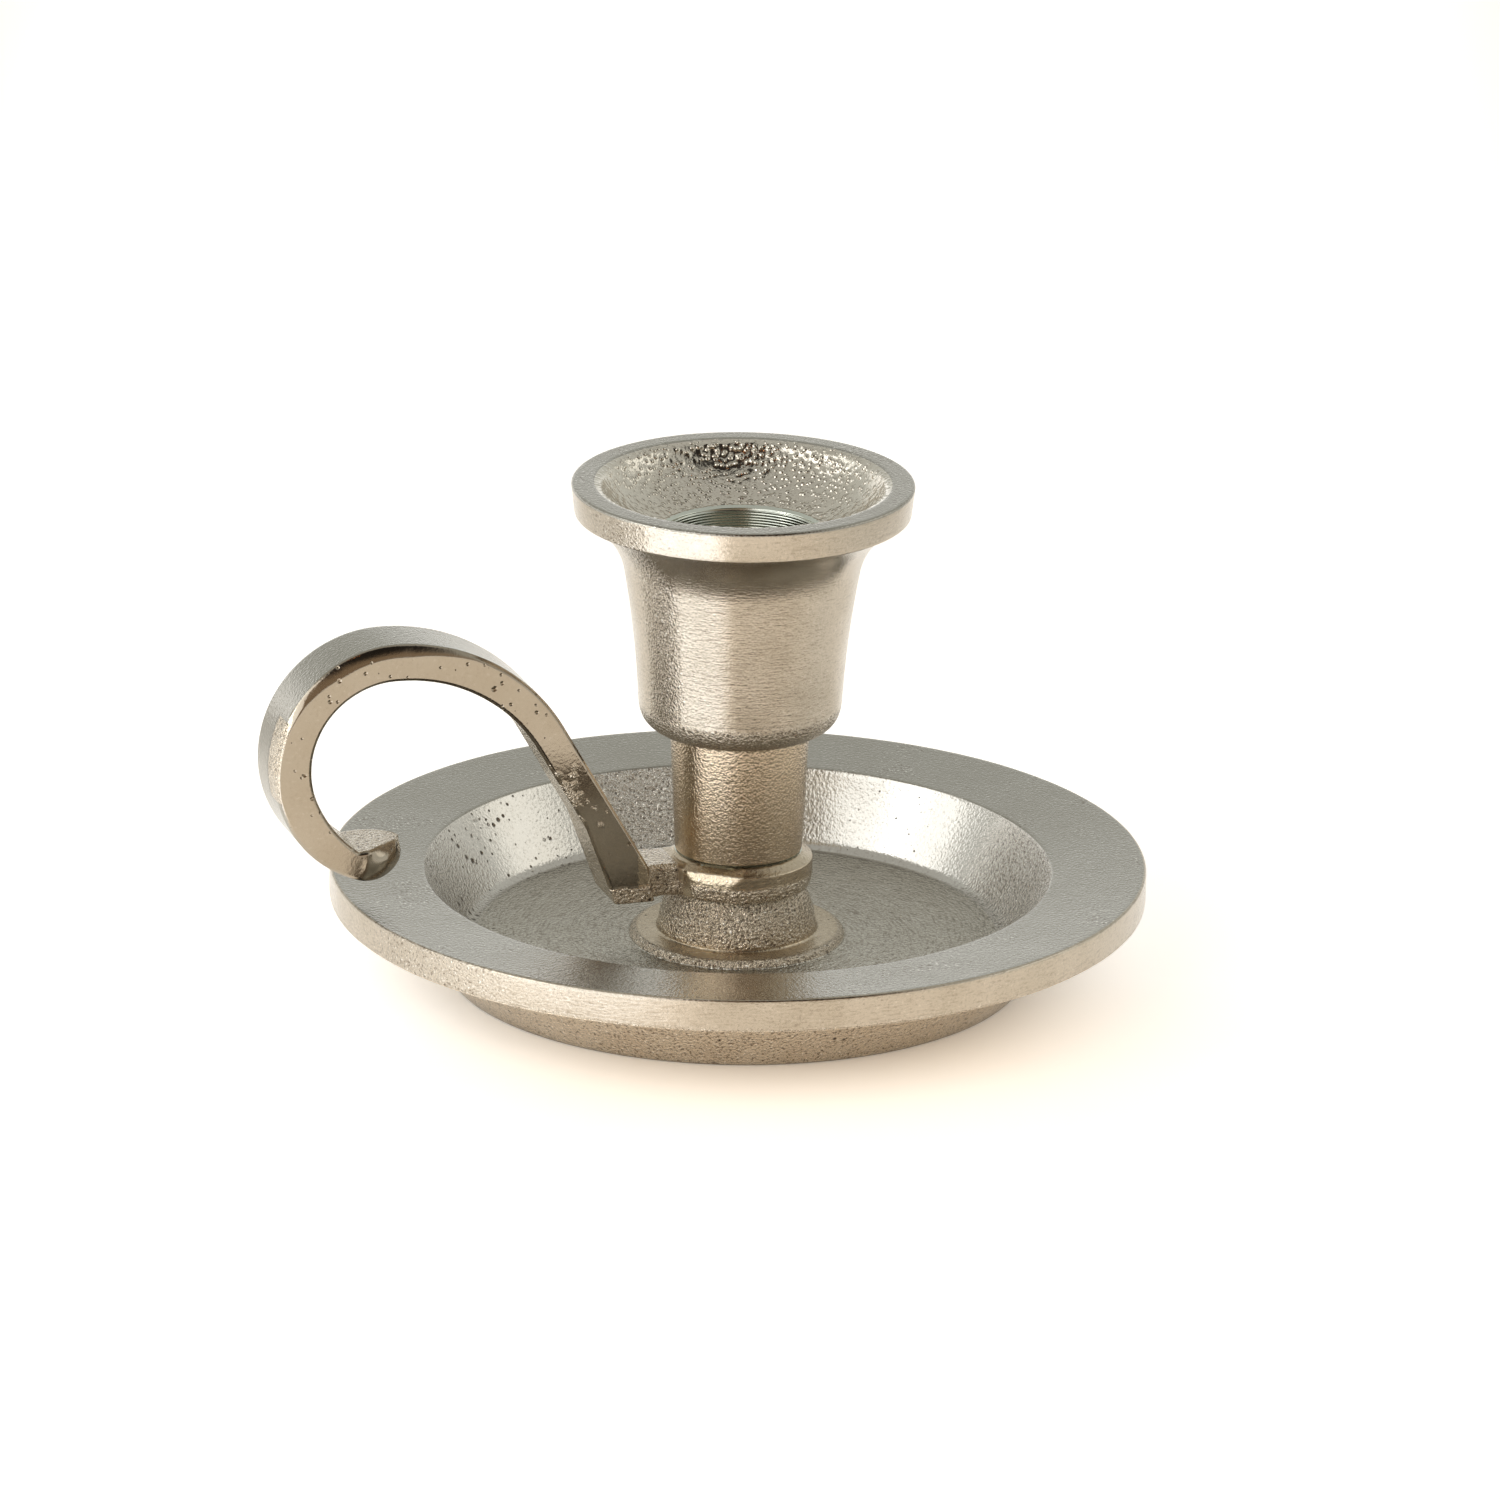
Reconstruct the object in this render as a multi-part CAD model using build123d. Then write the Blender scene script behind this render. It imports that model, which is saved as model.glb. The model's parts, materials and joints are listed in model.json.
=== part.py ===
from build123d import *
import os
from math import cos, radians, sin, tan

os.makedirs("parts", exist_ok=True)

# A chamberstick: a dished drip pan, a handle with a finger loop and a candle socket, all sand-cast aluminium,
# stacked on one axis and drawn together by one screw from below.
# Millimetres, +Z up. The origin is on the candle's axis, on the surface that the stick stands on.
# The handle reaches out along -X, and the XZ plane is the stick's plane of symmetry.

# Candle and shop allowances
candle_d = 22.0
candle_clearance = 0.25
cut_overrun = 1.0
edge_round = 0.4

# Drip pan, from the rim inwards
pan_r = 60.0
pan_h = 16.4
rim_t = 5.05
rim_w = 13.9
rim_fall = 0.95
rim_root_fall = 0.3
wall_lean = 6.7
wall_top_w = 3.6
wall_foot_w = 3.2
floor_t = 3.2
floor_rise = 1.8
standing_ring_w = 5.0
pan_inner_round = 2.0
pan_outer_round = 1.2

# Pedestal in the middle of the pan
pedestal_h = 8.05
pedestal_top_r = 9.6
pedestal_foot_r = 11.8
pedestal_bow = 0.45
collar_r = 15.9
collar_h = 1.15
collar_round_share = 0.95

# Fixing screw, a pan head with a cross recess, and its two washers
screw_r = 3.0
screw_length = 20.0
screw_point = 0.6
head_r = 6.0
head_h = 4.6
head_crown_share = 0.55
recess_span = 6.6
recess_w = 1.5
recess_depth = 2.9
recess_tip = 2.2
spring_washer_r = 5.9
spring_washer_t = 1.6
spring_washer_slit = 0.9
spring_washer_skew_deg = 22.0
flat_washer_r = 6.0
flat_washer_t = 1.6
head_sink = 1.2
thread_clearance = 0.05
washer_clearance = 0.15
screw_clearance = 0.3
pocket_clearance = 1.0

# Handle: the ring between pedestal and socket, and its neck
ring_r = 11.05
ring_h = 5.35
ring_top_round = 1.0
ring_flat_depth = 0.45
ring_flat_deg = 51.0
neck_w = 8.5

# Handle: the flat bar, its shank and its loop
bar_w = 10.4
bar_edge = 0.55
root_set = 1.0
foot_w = 5.2
foot_h = 12.0
shank_t = 5.05
shank_slope_deg = 60.0
shoulder_r = 29.4
loop_reach = 53.9
loop_rise = 24.75
loop_r = 18.05
loop_t = 5.5

# Handle: the hooked end of the loop, whose tip lies inwards of the loop's centre
hook_turn_deg = -22.0
crease_deg = -67.0
crease_t = 4.1
hook_tip_in = 2.3
hook_tip_h = 3.2
hook_tip_t = 1.35
hook_tip_set = 0.5
hook_under_deg = -78.0
hook_nose_length = 7.0

# Candle socket, from the spigot in the ring upwards
spigot_r = 5.0
spigot_clearance = 0.15
spigot_short = 0.3
tap_run_out = 1.5
drill_point_deg = 59.0
stem_foot_r = 9.4
stem_top_r = 10.25
stem_h = 18.5
stem_foot_round = 0.35
cup_foot_r = 14.8
cup_foot_round_share = 0.93
cup_neck_r = 17.2
cup_side_h = 24.1
cup_side_bow = 0.4
cup_cove_h = 8.9
flange_foot_r = 24.55
flange_r = 25.07
flange_t = 4.55
lip_w = 4.3
lip_inner_round = 0.8
dish_depth = 7.15
dish_bow = 1.05
bore_chamfer = 0.65
bore_depth = 24.3

# Heights and radii where the pieces meet
bore_r = candle_d / 2 + candle_clearance
floor_top = floor_rise + floor_t
pedestal_top = floor_top + pedestal_h
head_seat = head_sink + head_h
flat_washer_seat = head_seat + spring_washer_t
pocket_top = flat_washer_seat + flat_washer_t
pocket_r = max(head_r, flat_washer_r, spring_washer_r) + pocket_clearance
screw_hole_r = screw_r + screw_clearance
washer_hole_r = screw_r + washer_clearance
tapped_r = screw_r + thread_clearance
eye_r = spigot_r + spigot_clearance
ring_top = pedestal_top + ring_h


def at(reach, height):
    """A point of a half section, by its distance from the axis and its height."""
    return Vector(reach, 0, height)


def around(centre, radius, degrees):
    """A point on a circle in the XZ plane, by its angle up from the way out."""
    return centre + at(radius * cos(radians(degrees)), radius * sin(radians(degrees)))


def arc_about(centre, radius, start_deg, end_deg):
    """An arc in the XZ plane about a centre, from one angle to the other."""
    middle_deg = (start_deg + end_deg) / 2
    start = around(centre, radius, start_deg)
    middle = around(centre, radius, middle_deg)
    return ThreePointArc(start, middle, around(centre, radius, end_deg))


def bowed(start, end, bow):
    """An arc between two points that stands off their straight line by bow, to the left of the way along."""
    way = (end - start).normalized()
    middle = (start + end) / 2 + Vector(-way.Z, 0, way.X) * bow
    return ThreePointArc(start, middle, end)


def run(*points):
    """Straight edges through the points."""
    return [Line(a, b) for a, b in zip(points, points[1:])]


def section(edges):
    """The flat face inside a closed loop of edges."""
    return Face(Wire(edges))


def rounded(face, corners):
    """The face with its corners rounded, each named by its place and given its own radius."""
    for place, radius in corners:
        corner = face.vertices().sort_by_distance(place)[0]
        face = face.fillet_2d(radius, [corner])
    return face


def turned(face):
    """The solid that a half section makes about the candle's axis."""
    return revolve(face, Axis.Z)


def drip_pan():
    """The pan in one casting: broad flat rim, sloping wall, floor, standing ring and pedestal."""
    rim_inner_r = pan_r - rim_w
    wall_foot_r = rim_inner_r - wall_lean
    rim_bottom = pan_h - rim_t
    foot_r = wall_foot_r + wall_foot_w
    standing_r = foot_r - standing_ring_w
    hole_foot = at(screw_hole_r, pocket_top)
    hole_head = at(screw_hole_r, pedestal_top)
    top_edge = at(pedestal_top_r, pedestal_top)
    flare_foot = at(pedestal_foot_r, floor_top + collar_h)
    collar_edge = at(collar_r, floor_top + collar_h)
    collar_foot = at(collar_r, floor_top)
    wall_foot = at(wall_foot_r, floor_top)
    wall_top = at(rim_inner_r, pan_h - rim_fall)
    rim_top_edge = at(pan_r, pan_h)
    rim_bottom_edge = at(pan_r, rim_bottom)
    rim_root = at(rim_inner_r + wall_top_w, rim_bottom - rim_root_fall)
    foot_edge = at(foot_r, 0)
    standing_edge = at(standing_r, 0)
    floor_edge = at(standing_r, floor_rise)
    pocket_mouth = at(pocket_r, floor_rise)
    edges = run(hole_foot, hole_head, top_edge)
    edges += [bowed(top_edge, flare_foot, pedestal_bow)]
    edges += run(flare_foot, collar_edge, collar_foot, wall_foot, wall_top, rim_top_edge, rim_bottom_edge)
    edges += run(rim_bottom_edge, rim_root, foot_edge, standing_edge, floor_edge, pocket_mouth)
    edges += run(pocket_mouth, at(pocket_r, pocket_top), hole_foot)
    corners = [
        (collar_edge, collar_h * collar_round_share),
        (wall_foot, pan_inner_round),
        (wall_top, edge_round),
        (rim_top_edge, edge_round),
        (rim_bottom_edge, edge_round),
        (rim_root, pan_outer_round),
        (foot_edge, edge_round),
        (standing_edge, edge_round),
        (floor_edge, edge_round),
        (pocket_mouth, edge_round),
    ]
    return turned(rounded(section(edges), corners))


def shank_root():
    """Where the shank's outer side comes down to the level of the ring's top."""
    slope = radians(shank_slope_deg)
    loop_top = pedestal_top + loop_rise + loop_r
    shoulder_end = at(loop_reach - shoulder_r * sin(slope), loop_top - shoulder_r * (1 - cos(slope)))
    return at(shoulder_end.X - (shoulder_end.Z - ring_top) / tan(slope), ring_top)


def handle_bar_outline():
    """The bar seen from its side, with the handle reaching out along +X."""
    root = shank_root()
    start_x = root.X - root_set
    foot = at(root.X + foot_w, pedestal_top)
    loop_centre = at(loop_reach, pedestal_top + loop_rise)
    inner_r = loop_r - loop_t
    slope = radians(shank_slope_deg)
    fall = shoulder_r - loop_r
    # The inner shoulder's radius leaves the shank shank_t thick and its two sides parallel.
    inner_shoulder_r = shoulder_r + (loop_t * cos(slope) - shank_t) / (1 - cos(slope))
    outer_centre = loop_centre - at(0, fall)
    inner_centre = loop_centre - at(0, inner_shoulder_r - inner_r)
    shank_deg = 90 + shank_slope_deg
    outer_end = around(outer_centre, shoulder_r, shank_deg)
    inner_end = around(inner_centre, inner_shoulder_r, shank_deg)
    heel_z = pedestal_top + foot_h
    heel = at(inner_end.X - (inner_end.Z - heel_z) / tan(slope), heel_z)
    crease = around(loop_centre, loop_r - crease_t, crease_deg)
    tip = loop_centre + at(-hook_tip_in, hook_tip_h - loop_r)
    tip_top = tip + at(hook_tip_set, hook_tip_t)
    inner_loop = arc_about(loop_centre, inner_r, 90, hook_turn_deg)
    tail_inside = TangentArc(inner_loop @ 1, crease, tangent=inner_loop % 1)
    outer_loop = arc_about(loop_centre, loop_r, 90, hook_under_deg)
    nose = TangentArc(outer_loop @ 1, tip, tangent=outer_loop % 1)
    edges = run(root, at(start_x, ring_top), at(start_x, pedestal_top), foot, heel, inner_end)
    edges += [arc_about(inner_centre, inner_shoulder_r, shank_deg, 90), inner_loop, tail_inside]
    edges += run(crease, tip_top, tip)
    edges += [nose, outer_loop, arc_about(outer_centre, shoulder_r, 90, shank_deg)]
    edges += run(outer_end, root)
    return section(edges)


def hook_end_cut():
    """What the file takes off the hook's end, which is half an ellipse seen from above."""
    tip_reach = loop_reach - hook_tip_in
    start = tip_reach - cut_overrun
    loop_foot = pedestal_top + loop_rise - loop_r
    base = Plane.XY.offset(loop_foot - cut_overrun)
    height = hook_tip_h + hook_tip_t + crease_t
    blank = Rectangle(hook_nose_length + cut_overrun, bar_w + 2 * cut_overrun, align=(Align.MIN, Align.CENTER))
    kept = Pos(tip_reach + hook_nose_length, 0) * Ellipse(hook_nose_length, bar_w / 2)
    return extrude(base * (Pos(start, 0) * blank - kept), height)


def finger_loop_handle():
    """Ring, neck and looped bar in one casting."""
    bar = extrude(handle_bar_outline(), bar_w / 2, dir=(0, 1, 0), both=True)
    bar = chamfer(bar.faces().filter_by(Axis.Y).edges(), bar_edge)
    bar -= hook_end_cut()
    on_axis = Plane.XY.offset(pedestal_top)
    ring = extrude(on_axis * Circle(ring_r), ring_h)
    for side_deg in (ring_flat_deg, -ring_flat_deg):
        slab_x = ring_r - ring_flat_depth
        slab = Box(ring_r, 2 * ring_r, ring_h, align=(Align.MIN, Align.CENTER, Align.MIN))
        ring -= Rot(0, 0, side_deg) * Pos(slab_x, 0, pedestal_top) * slab
    ring = fillet(ring.faces().sort_by(Axis.Z)[-1].edges(), ring_top_round)
    neck = Box(shank_root().X, neck_w, ring_h, align=(Align.MIN, Align.CENTER, Align.MIN))
    casting = ring + Pos(0, 0, pedestal_top) * neck + bar
    casting -= extrude(Plane.XY.offset(pedestal_top - cut_overrun) * Circle(eye_r), ring_h + 2 * cut_overrun)
    return Rot(0, 0, 180) * casting


def candle_socket():
    """Spigot, stem, cup and dished flange in one casting, bored for the candle and tapped for the screw."""
    stem_top = ring_top + stem_h
    cove_foot = stem_top + cup_side_h
    flange_foot = cove_foot + cup_cove_h
    flange_top = flange_foot + flange_t
    dish_foot = flange_top - dish_depth
    bore_floor = dish_foot - bore_depth
    spigot_foot = pedestal_top + spigot_short
    tap_end = head_seat + screw_length + tap_run_out
    drill_point = tapped_r / tan(radians(drill_point_deg))
    thread_mouth = at(tapped_r, spigot_foot)
    spigot_edge = at(spigot_r, spigot_foot)
    stem_edge = at(stem_foot_r, ring_top)
    stem_root = at(stem_top_r, stem_top)
    cup_edge = at(cup_foot_r, stem_top)
    cup_neck = at(cup_neck_r, cove_foot)
    flange_edge = at(flange_foot_r, flange_foot)
    lip_edge = at(flange_r, flange_top)
    dish_edge = at(flange_r - lip_w, flange_top)
    dish_end = at(bore_r + bore_chamfer, dish_foot)
    bore_mouth = at(bore_r, dish_foot - bore_chamfer)
    cup_side = bowed(cup_edge, cup_neck, cup_side_bow)
    cove = TangentArc(cup_neck, flange_edge, tangent=cup_side % 1)
    edges = run(at(0, bore_floor), at(0, tap_end + drill_point), at(tapped_r, tap_end), thread_mouth)
    edges += run(thread_mouth, spigot_edge, at(spigot_r, ring_top), stem_edge, stem_root, cup_edge)
    edges += [cup_side, cove]
    edges += run(flange_edge, lip_edge, dish_edge)
    edges += [bowed(dish_edge, dish_end, dish_bow)]
    edges += run(dish_end, bore_mouth, at(bore_r, bore_floor), at(0, bore_floor))
    corners = [
        (stem_edge, stem_foot_round),
        (cup_edge, (cup_foot_r - stem_top_r) * cup_foot_round_share),
        (flange_edge, edge_round),
        (lip_edge, edge_round),
        (dish_edge, lip_inner_round),
    ]
    return turned(rounded(section(edges), corners))


def fixing_screw():
    """The machine screw, with its thread at full diameter and a cross recess in its domed head."""
    tip = head_seat + screw_length
    head_edge = at(head_r, head_sink)
    edges = run(at(0, head_sink), head_edge, at(head_r, head_seat), at(screw_r, head_seat))
    edges += run(at(screw_r, head_seat), at(screw_r, tip - screw_point), at(screw_r - screw_point, tip))
    edges += run(at(screw_r - screw_point, tip), at(0, tip), at(0, head_sink))
    screw = turned(rounded(section(edges), [(head_edge, head_h * head_crown_share)]))
    mouth = recess_span / 2
    foot = recess_tip / 2
    mouth_z = head_sink - cut_overrun
    roof = head_sink + recess_depth
    wing = section(run(at(-mouth, mouth_z), at(mouth, mouth_z), at(foot, roof), at(-foot, roof), at(-mouth, mouth_z)))
    blade = extrude(wing, recess_w / 2, dir=(0, 1, 0), both=True)
    return screw - blade - Rot(0, 0, 90) * blade


def washer(outer_r, thickness, seat):
    """A flat ring on the screw, with its lower face at the given height."""
    ring = Circle(outer_r) - Circle(washer_hole_r)
    return extrude(Plane.XY.offset(seat) * ring, thickness)


def spring_washer():
    """The split ring under the screw's head, drawn down flat, with its slit on the skew."""
    ring = washer(spring_washer_r, spring_washer_t, head_seat)
    middle = head_seat + spring_washer_t / 2
    slit = Box(spring_washer_r, spring_washer_slit, 2 * spring_washer_r, align=(Align.MIN, Align.CENTER, Align.CENTER))
    return ring - Pos(0, 0, middle) * Rot(spring_washer_skew_deg, 0, 0) * slit


def flat_washer():
    """The plain washer between the spring washer and the pan."""
    return washer(flat_washer_r, flat_washer_t, flat_washer_seat)


pieces = {
    "drip_pan": drip_pan(),
    "finger_loop_handle": finger_loop_handle(),
    "candle_socket": candle_socket(),
    "fixing_screw": fixing_screw(),
    "spring_washer": spring_washer(),
    "flat_washer": flat_washer(),
}
for name, piece in pieces.items():
    export_step(piece, f"parts/{name}.step")
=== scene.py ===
import json
from collections import namedtuple
from math import atan, atan2, ceil, cos, dist, hypot, log2, pi, radians, sin, tan

import bmesh
import bpy
import numpy as np
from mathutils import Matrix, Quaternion, Vector, noise

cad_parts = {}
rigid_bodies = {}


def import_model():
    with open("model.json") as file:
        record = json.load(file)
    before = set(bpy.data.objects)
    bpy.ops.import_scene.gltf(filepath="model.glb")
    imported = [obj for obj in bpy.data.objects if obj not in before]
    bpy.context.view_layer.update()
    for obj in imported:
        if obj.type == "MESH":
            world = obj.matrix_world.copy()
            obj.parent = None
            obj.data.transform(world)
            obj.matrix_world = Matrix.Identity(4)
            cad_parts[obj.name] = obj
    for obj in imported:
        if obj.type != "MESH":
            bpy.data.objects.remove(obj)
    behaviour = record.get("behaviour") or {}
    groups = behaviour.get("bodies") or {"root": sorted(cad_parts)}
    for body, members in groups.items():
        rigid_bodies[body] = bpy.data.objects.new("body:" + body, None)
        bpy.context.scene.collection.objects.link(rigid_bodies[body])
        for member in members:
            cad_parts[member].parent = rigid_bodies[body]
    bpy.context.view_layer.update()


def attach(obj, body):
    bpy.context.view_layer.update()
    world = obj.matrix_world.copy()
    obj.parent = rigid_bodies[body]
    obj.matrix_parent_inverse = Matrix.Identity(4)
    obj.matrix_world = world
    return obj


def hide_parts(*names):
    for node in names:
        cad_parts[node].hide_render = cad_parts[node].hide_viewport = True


# A chamberstick of sand-cast aluminium under nickel: drip pan, handle with finger loop and candle socket.
# The castings' sizes are in millimetres here and become metres in their meshes.
# The handle's bar and neck are drawn along +X, and mirrored to -X when their points are made.

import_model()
MM = 0.001
merge_distance = 0.001 * MM

# Drip pan
pan_r = 60.0
pan_h = 16.4
rim_t = 5.05
rim_w = 13.9
rim_fall = 0.95
rim_root_fall = 0.3
wall_lean = 6.7
wall_top_w = 3.6
wall_foot_w = 3.2
floor_t = 3.2
floor_rise = 1.8
standing_ring_w = 5.0
pan_inner_round = 2.0
pan_outer_round = 1.2
pedestal_h = 8.05
pedestal_top_r = 9.6
pedestal_foot_r = 11.8
pedestal_bow = 0.45
pedestal_top_round = 0.2
pedestal_foot_round = 0.35
collar_r = 15.9
collar_h = 1.15
collar_round = 1.09
collar_foot_round = 0.3
pocket_r = 7.0
pocket_top = 9.0
screw_hole_r = 3.3
edge_round = 0.4

# Handle
ring_r = 11.05
ring_h = 5.35
ring_slope_w = 1.65
ring_slope_h = 0.9
ring_edge_round = 0.35
ring_side_bow = 0.3
ring_flat_depth = 0.35
ring_flat_deg = 51.0
ring_flat_drop = 2.8
ring_flat_lean_deg = 22.0
ring_flat_reach_deg = 60.0
ring_flat_soft = 0.12
ring_lean_soft = 0.05
ring_lean_set = 0.1
ring_inset = 0.02
ring_top_row_share = 0.4
eye_r = 5.15
bar_w = 10.4
bar_bevel = 0.5
handle_grid = 0.36
neck_from = 7.0
neck_to = 17.0
neck_lift = 0.08
neck_bevel = 0.7
root_set = 1.0
foot_w = 5.2
foot_h = 12.0
shank_t = 5.05
shank_slope_deg = 60.0
shoulder_r = 29.4
loop_reach = 53.9
loop_rise = 24.75
loop_r = 18.05
loop_t = 5.5
hook_turn_deg = -22.0
crease_deg = -67.0
crease_t = 4.1
hook_tip_in = 2.3
hook_tip_h = 3.2
hook_tip_t = 2.5
hook_tip_set = 0.5
hook_under_deg = -78.0
hook_nose_length = 7.0
hook_end_near = 1.5
hook_filed_share = 0.93
hook_round_share = 0.2
hook_last_w = 0.25
hook_crown = 0.95
hook_crown_power = 1.5
shank_marked_deg = 60.0
tip_marked_deg = 40.0
tip_grid_share = 0.7
tip_crowd_power = 1.5
scraped_from_deg = -14.0
scraped_to_deg = 26.0
scraped_w = 4.5
rough_shank_z = 30.5
rough_shank_length = 5.0
rough_shank_w = 2.6
rough_foot_h = 2.4
rough_length_shares = (0.5, 0.8)
rough_w_shares = (0.7, 1.2)
shank_end = 34.0
neck_skin_from = 10.7
neck_skin_to = 15.2
neck_skin_over = 0.5
bored_edge_w = 2.0
ragged_per_mm = 0.8
# How squarely a face must look sideways to count as the bar's side, and outwards to count as its outside
side_facing = 0.55
outer_facing = 0.3

# Candle socket
bore_r = 11.25
bore_depth = 24.3
bore_chamfer = 0.65
spigot_r = 5.0
spigot_short = 0.3
tapped_r = 3.05
tap_end = 27.3
drill_point = 29.1
stem_foot_r = 9.4
stem_top_r = 10.25
stem_h = 18.5
seam_h = 0.22
seam_depth = 1.3
stem_foot_round = 0.1
stem_top_round = 0.3
cup_foot_r = 14.8
cup_foot_round = 4.23
cup_neck_r = 17.2
cup_side_h = 24.1
cup_side_bow = 0.4
cup_cove_h = 8.9
flange_foot_r = 24.55
flange_r = 25.07
flange_t = 4.55
lip_w = 4.3
lip_inner_round = 1.5
dish_depth = 7.15
dish_bow = 1.05

# Heights where the pieces meet
floor_top = floor_rise + floor_t
pedestal_top = floor_top + pedestal_h
ring_top = pedestal_top + ring_h

# What each finish does to the castings' skin: grain, pebbles, pits and waves, as shares of their full depth
Finish = namedtuple("Finish", "grain pebbles pits waves")
finishes = {
    "linished": Finish(grain=0.3, pebbles=0.0, pits=0.0, waves=0.5),
    "scuffed": Finish(grain=1.2, pebbles=0.0, pits=0.0, waves=1.0),
    "brushed": Finish(grain=0.4, pebbles=0.0, pits=0.0, waves=0.5),
    "lapped": Finish(grain=0.2, pebbles=0.0, pits=0.0, waves=0.5),
    "polished": Finish(grain=0.35, pebbles=0.0, pits=0.5, waves=1.0),
    "filed": Finish(grain=0.1, pebbles=0.0, pits=0.5, waves=1.0),
    "scoured": Finish(grain=0.4, pebbles=0.0, pits=0.3, waves=1.0),
    "sand_cast": Finish(grain=1.0, pebbles=0.0, pits=0.7, waves=1.0),
    "wall_cast": Finish(grain=1.0, pebbles=0.0, pits=1.0, waves=1.0),
    "pebbled": Finish(grain=0.5, pebbles=1.0, pits=0.3, waves=1.0),
    "bored": Finish(grain=0.0, pebbles=0.0, pits=0.0, waves=0.0),
}
# How strong grain and pebbles are round the axis on three finishes, by the angle from +X in degrees
coarse_round = {
    "linished": ([-180, -172, -164, -150, -140, -120, 120, 180], [0.6, 0.8, 2.6, 2.6, 0.8, 0.5, 0.6, 0.6]),
    "wall_cast": ([-180, -60, -12, 4, 16, 30, 50, 64, 72, 98, 106, 132, 142, 160, 180],
                  [0.4, 0.5, 0.8, 0.6, 0.15, 0.06, 0.05, 0.1, 0.8, 0.8, 0.12, 0.1, 0.25, 0.4, 0.4]),
    "pebbled": ([-180, -60, -10, 20, 60, 85, 120, 150, 180],
                [0.3, 0.4, 0.45, 0.9, 1.0, 1.0, 0.9, 0.3, 0.3]),
}
# How strong the pits are, likewise
pitted_round = {"wall_cast": ([-180, -120, 0, 60, 112, 120, 180], [0.8, 0.3, 0.15, 0.15, 0.3, 1.0, 1.0])}
finish_names = list(finishes)
# The dish's beads: how far apart they lie in millimetres, and how much of that a bead's radius takes
bead_spacing = 0.85
bead_share = 0.5
# The skin's sizes in millimetres, by the names of the inputs of its tree
skin_sizes = {
    "Wave size": 11.0,
    "Wave depth": 0.14,
    "Grain size": 1.1,
    "Grain depth": 0.07,
    "Pebble size": bead_spacing,
    "Pebble height": 0.2,
    "Pit spacing": 4.6,
    "Pit radius": 0.7,
    "Pit depth": 0.25,
}


def node(tree, kind, inputs=(), **settings):
    """Adds a node with its settings, and sets or links its inputs by name or place."""
    made = tree.nodes.new(kind)
    for key, value in settings.items():
        setattr(made, key, value)
    for key, value in dict(inputs).items():
        if isinstance(value, bpy.types.NodeSocket):
            tree.links.new(value, made.inputs[key])
        else:
            made.inputs[key].default_value = value
    return made


def colour(code):
    """The linear colour of an sRGB hex code."""
    parts = [int(code[i:i + 2], 16) / 255 for i in (1, 3, 5)]
    linear = [part / 12.92 if part <= 0.04045 else ((part + 0.055) / 1.055) ** 2.4 for part in parts]
    return linear + [1.0]


# Half sections and their turned meshes

# An edge of a half section: where it starts, how far that corner is rounded, how far the edge bows to the
# left of the way along, its finish, the spacing of its points and the finish of its corner, if another.
Edge = namedtuple("Edge", "reach height round bow finish grid round_finish", defaults=[""])
# The widest step round a corner, and the lean below which a run counts as straight
corner_step_deg = 22.0
straight_lean_deg = 0.05


def arc_run(start, heading, turn, radius, count):
    """Points on an arc that leaves start along a heading and turns by an angle, both in radians."""
    side = 1 if turn > 0 else -1
    angles = heading + turn * np.arange(count + 1) / count
    across = side * radius * (np.sin(angles) - sin(heading))
    up = side * radius * (cos(heading) - np.cos(angles))
    return np.array(start) + np.column_stack((across, up))


def bowed_run(start, end, lean, grid):
    """Points from start to end on an arc whose heading at the start leans to the left by an angle."""
    length = dist(start, end)
    count = max(1, ceil(length / grid))
    if abs(lean) < radians(straight_lean_deg):
        shares = np.arange(count + 1)[:, None] / count
        return np.array(start) + shares * (np.array(end) - np.array(start))
    heading = atan2(end[1] - start[1], end[0] - start[0])
    return arc_run(start, heading + lean, -2 * lean, length / (2 * sin(abs(lean))), count)


def half_section(edges, closed):
    """The points along a half section, with the finish and the grid of the run that follows each point."""
    count = len(edges)
    starts = [(edge.reach, edge.height) for edge in edges]
    ends = starts[1:] + starts[:1]
    leans = [2 * atan(2 * edge.bow / dist(a, b)) for edge, a, b in zip(edges, starts, ends)]
    headings = [atan2(b[1] - a[1], b[0] - a[0]) for a, b in zip(starts, ends)]
    corners = []
    for i, edge in enumerate(edges):
        arriving = headings[i - 1] - leans[i - 1]
        leaving = headings[i] + leans[i]
        turn = (leaving - arriving + pi) % (2 * pi) - pi
        cut = edge.round * tan(abs(turn) / 2)
        before = (edge.reach - cut * cos(arriving), edge.height - cut * sin(arriving))
        after = (edge.reach + cut * cos(leaving), edge.height + cut * sin(leaving))
        corners.append((before, after, arriving, turn))
    points, names, grids = [], [], []
    for i, edge in enumerate(edges):
        before, after, arriving, turn = corners[i]
        parts = []
        if edge.round:
            steps = max(2, ceil(abs(turn) / radians(corner_step_deg)),
                        ceil(abs(turn) * edge.round / edge.grid))
            corner = arc_run(before, arriving, turn, edge.round, steps)
            parts.append((corner, edge.round_finish or edge.finish))
        if closed or i < count - 1:
            parts.append((bowed_run(after, corners[(i + 1) % count][0], leans[i], edge.grid), edge.finish))
        else:
            parts.append((np.array([after, after]), edge.finish))
        for part, finish in parts:
            points += [tuple(point) for point in part[:-1]]
            names += [finish] * (len(part) - 1)
            grids += [edge.grid] * (len(part) - 1)
    return points, names, grids


def row_count(reach, grid, fewest=75):
    """How many points go round a turned row: the fewest times a power of two, or one on the axis."""
    if reach < grid / 10:
        return 1
    return fewest * 2 ** max(0, round(log2(2 * pi * reach / grid / fewest)))


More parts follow.
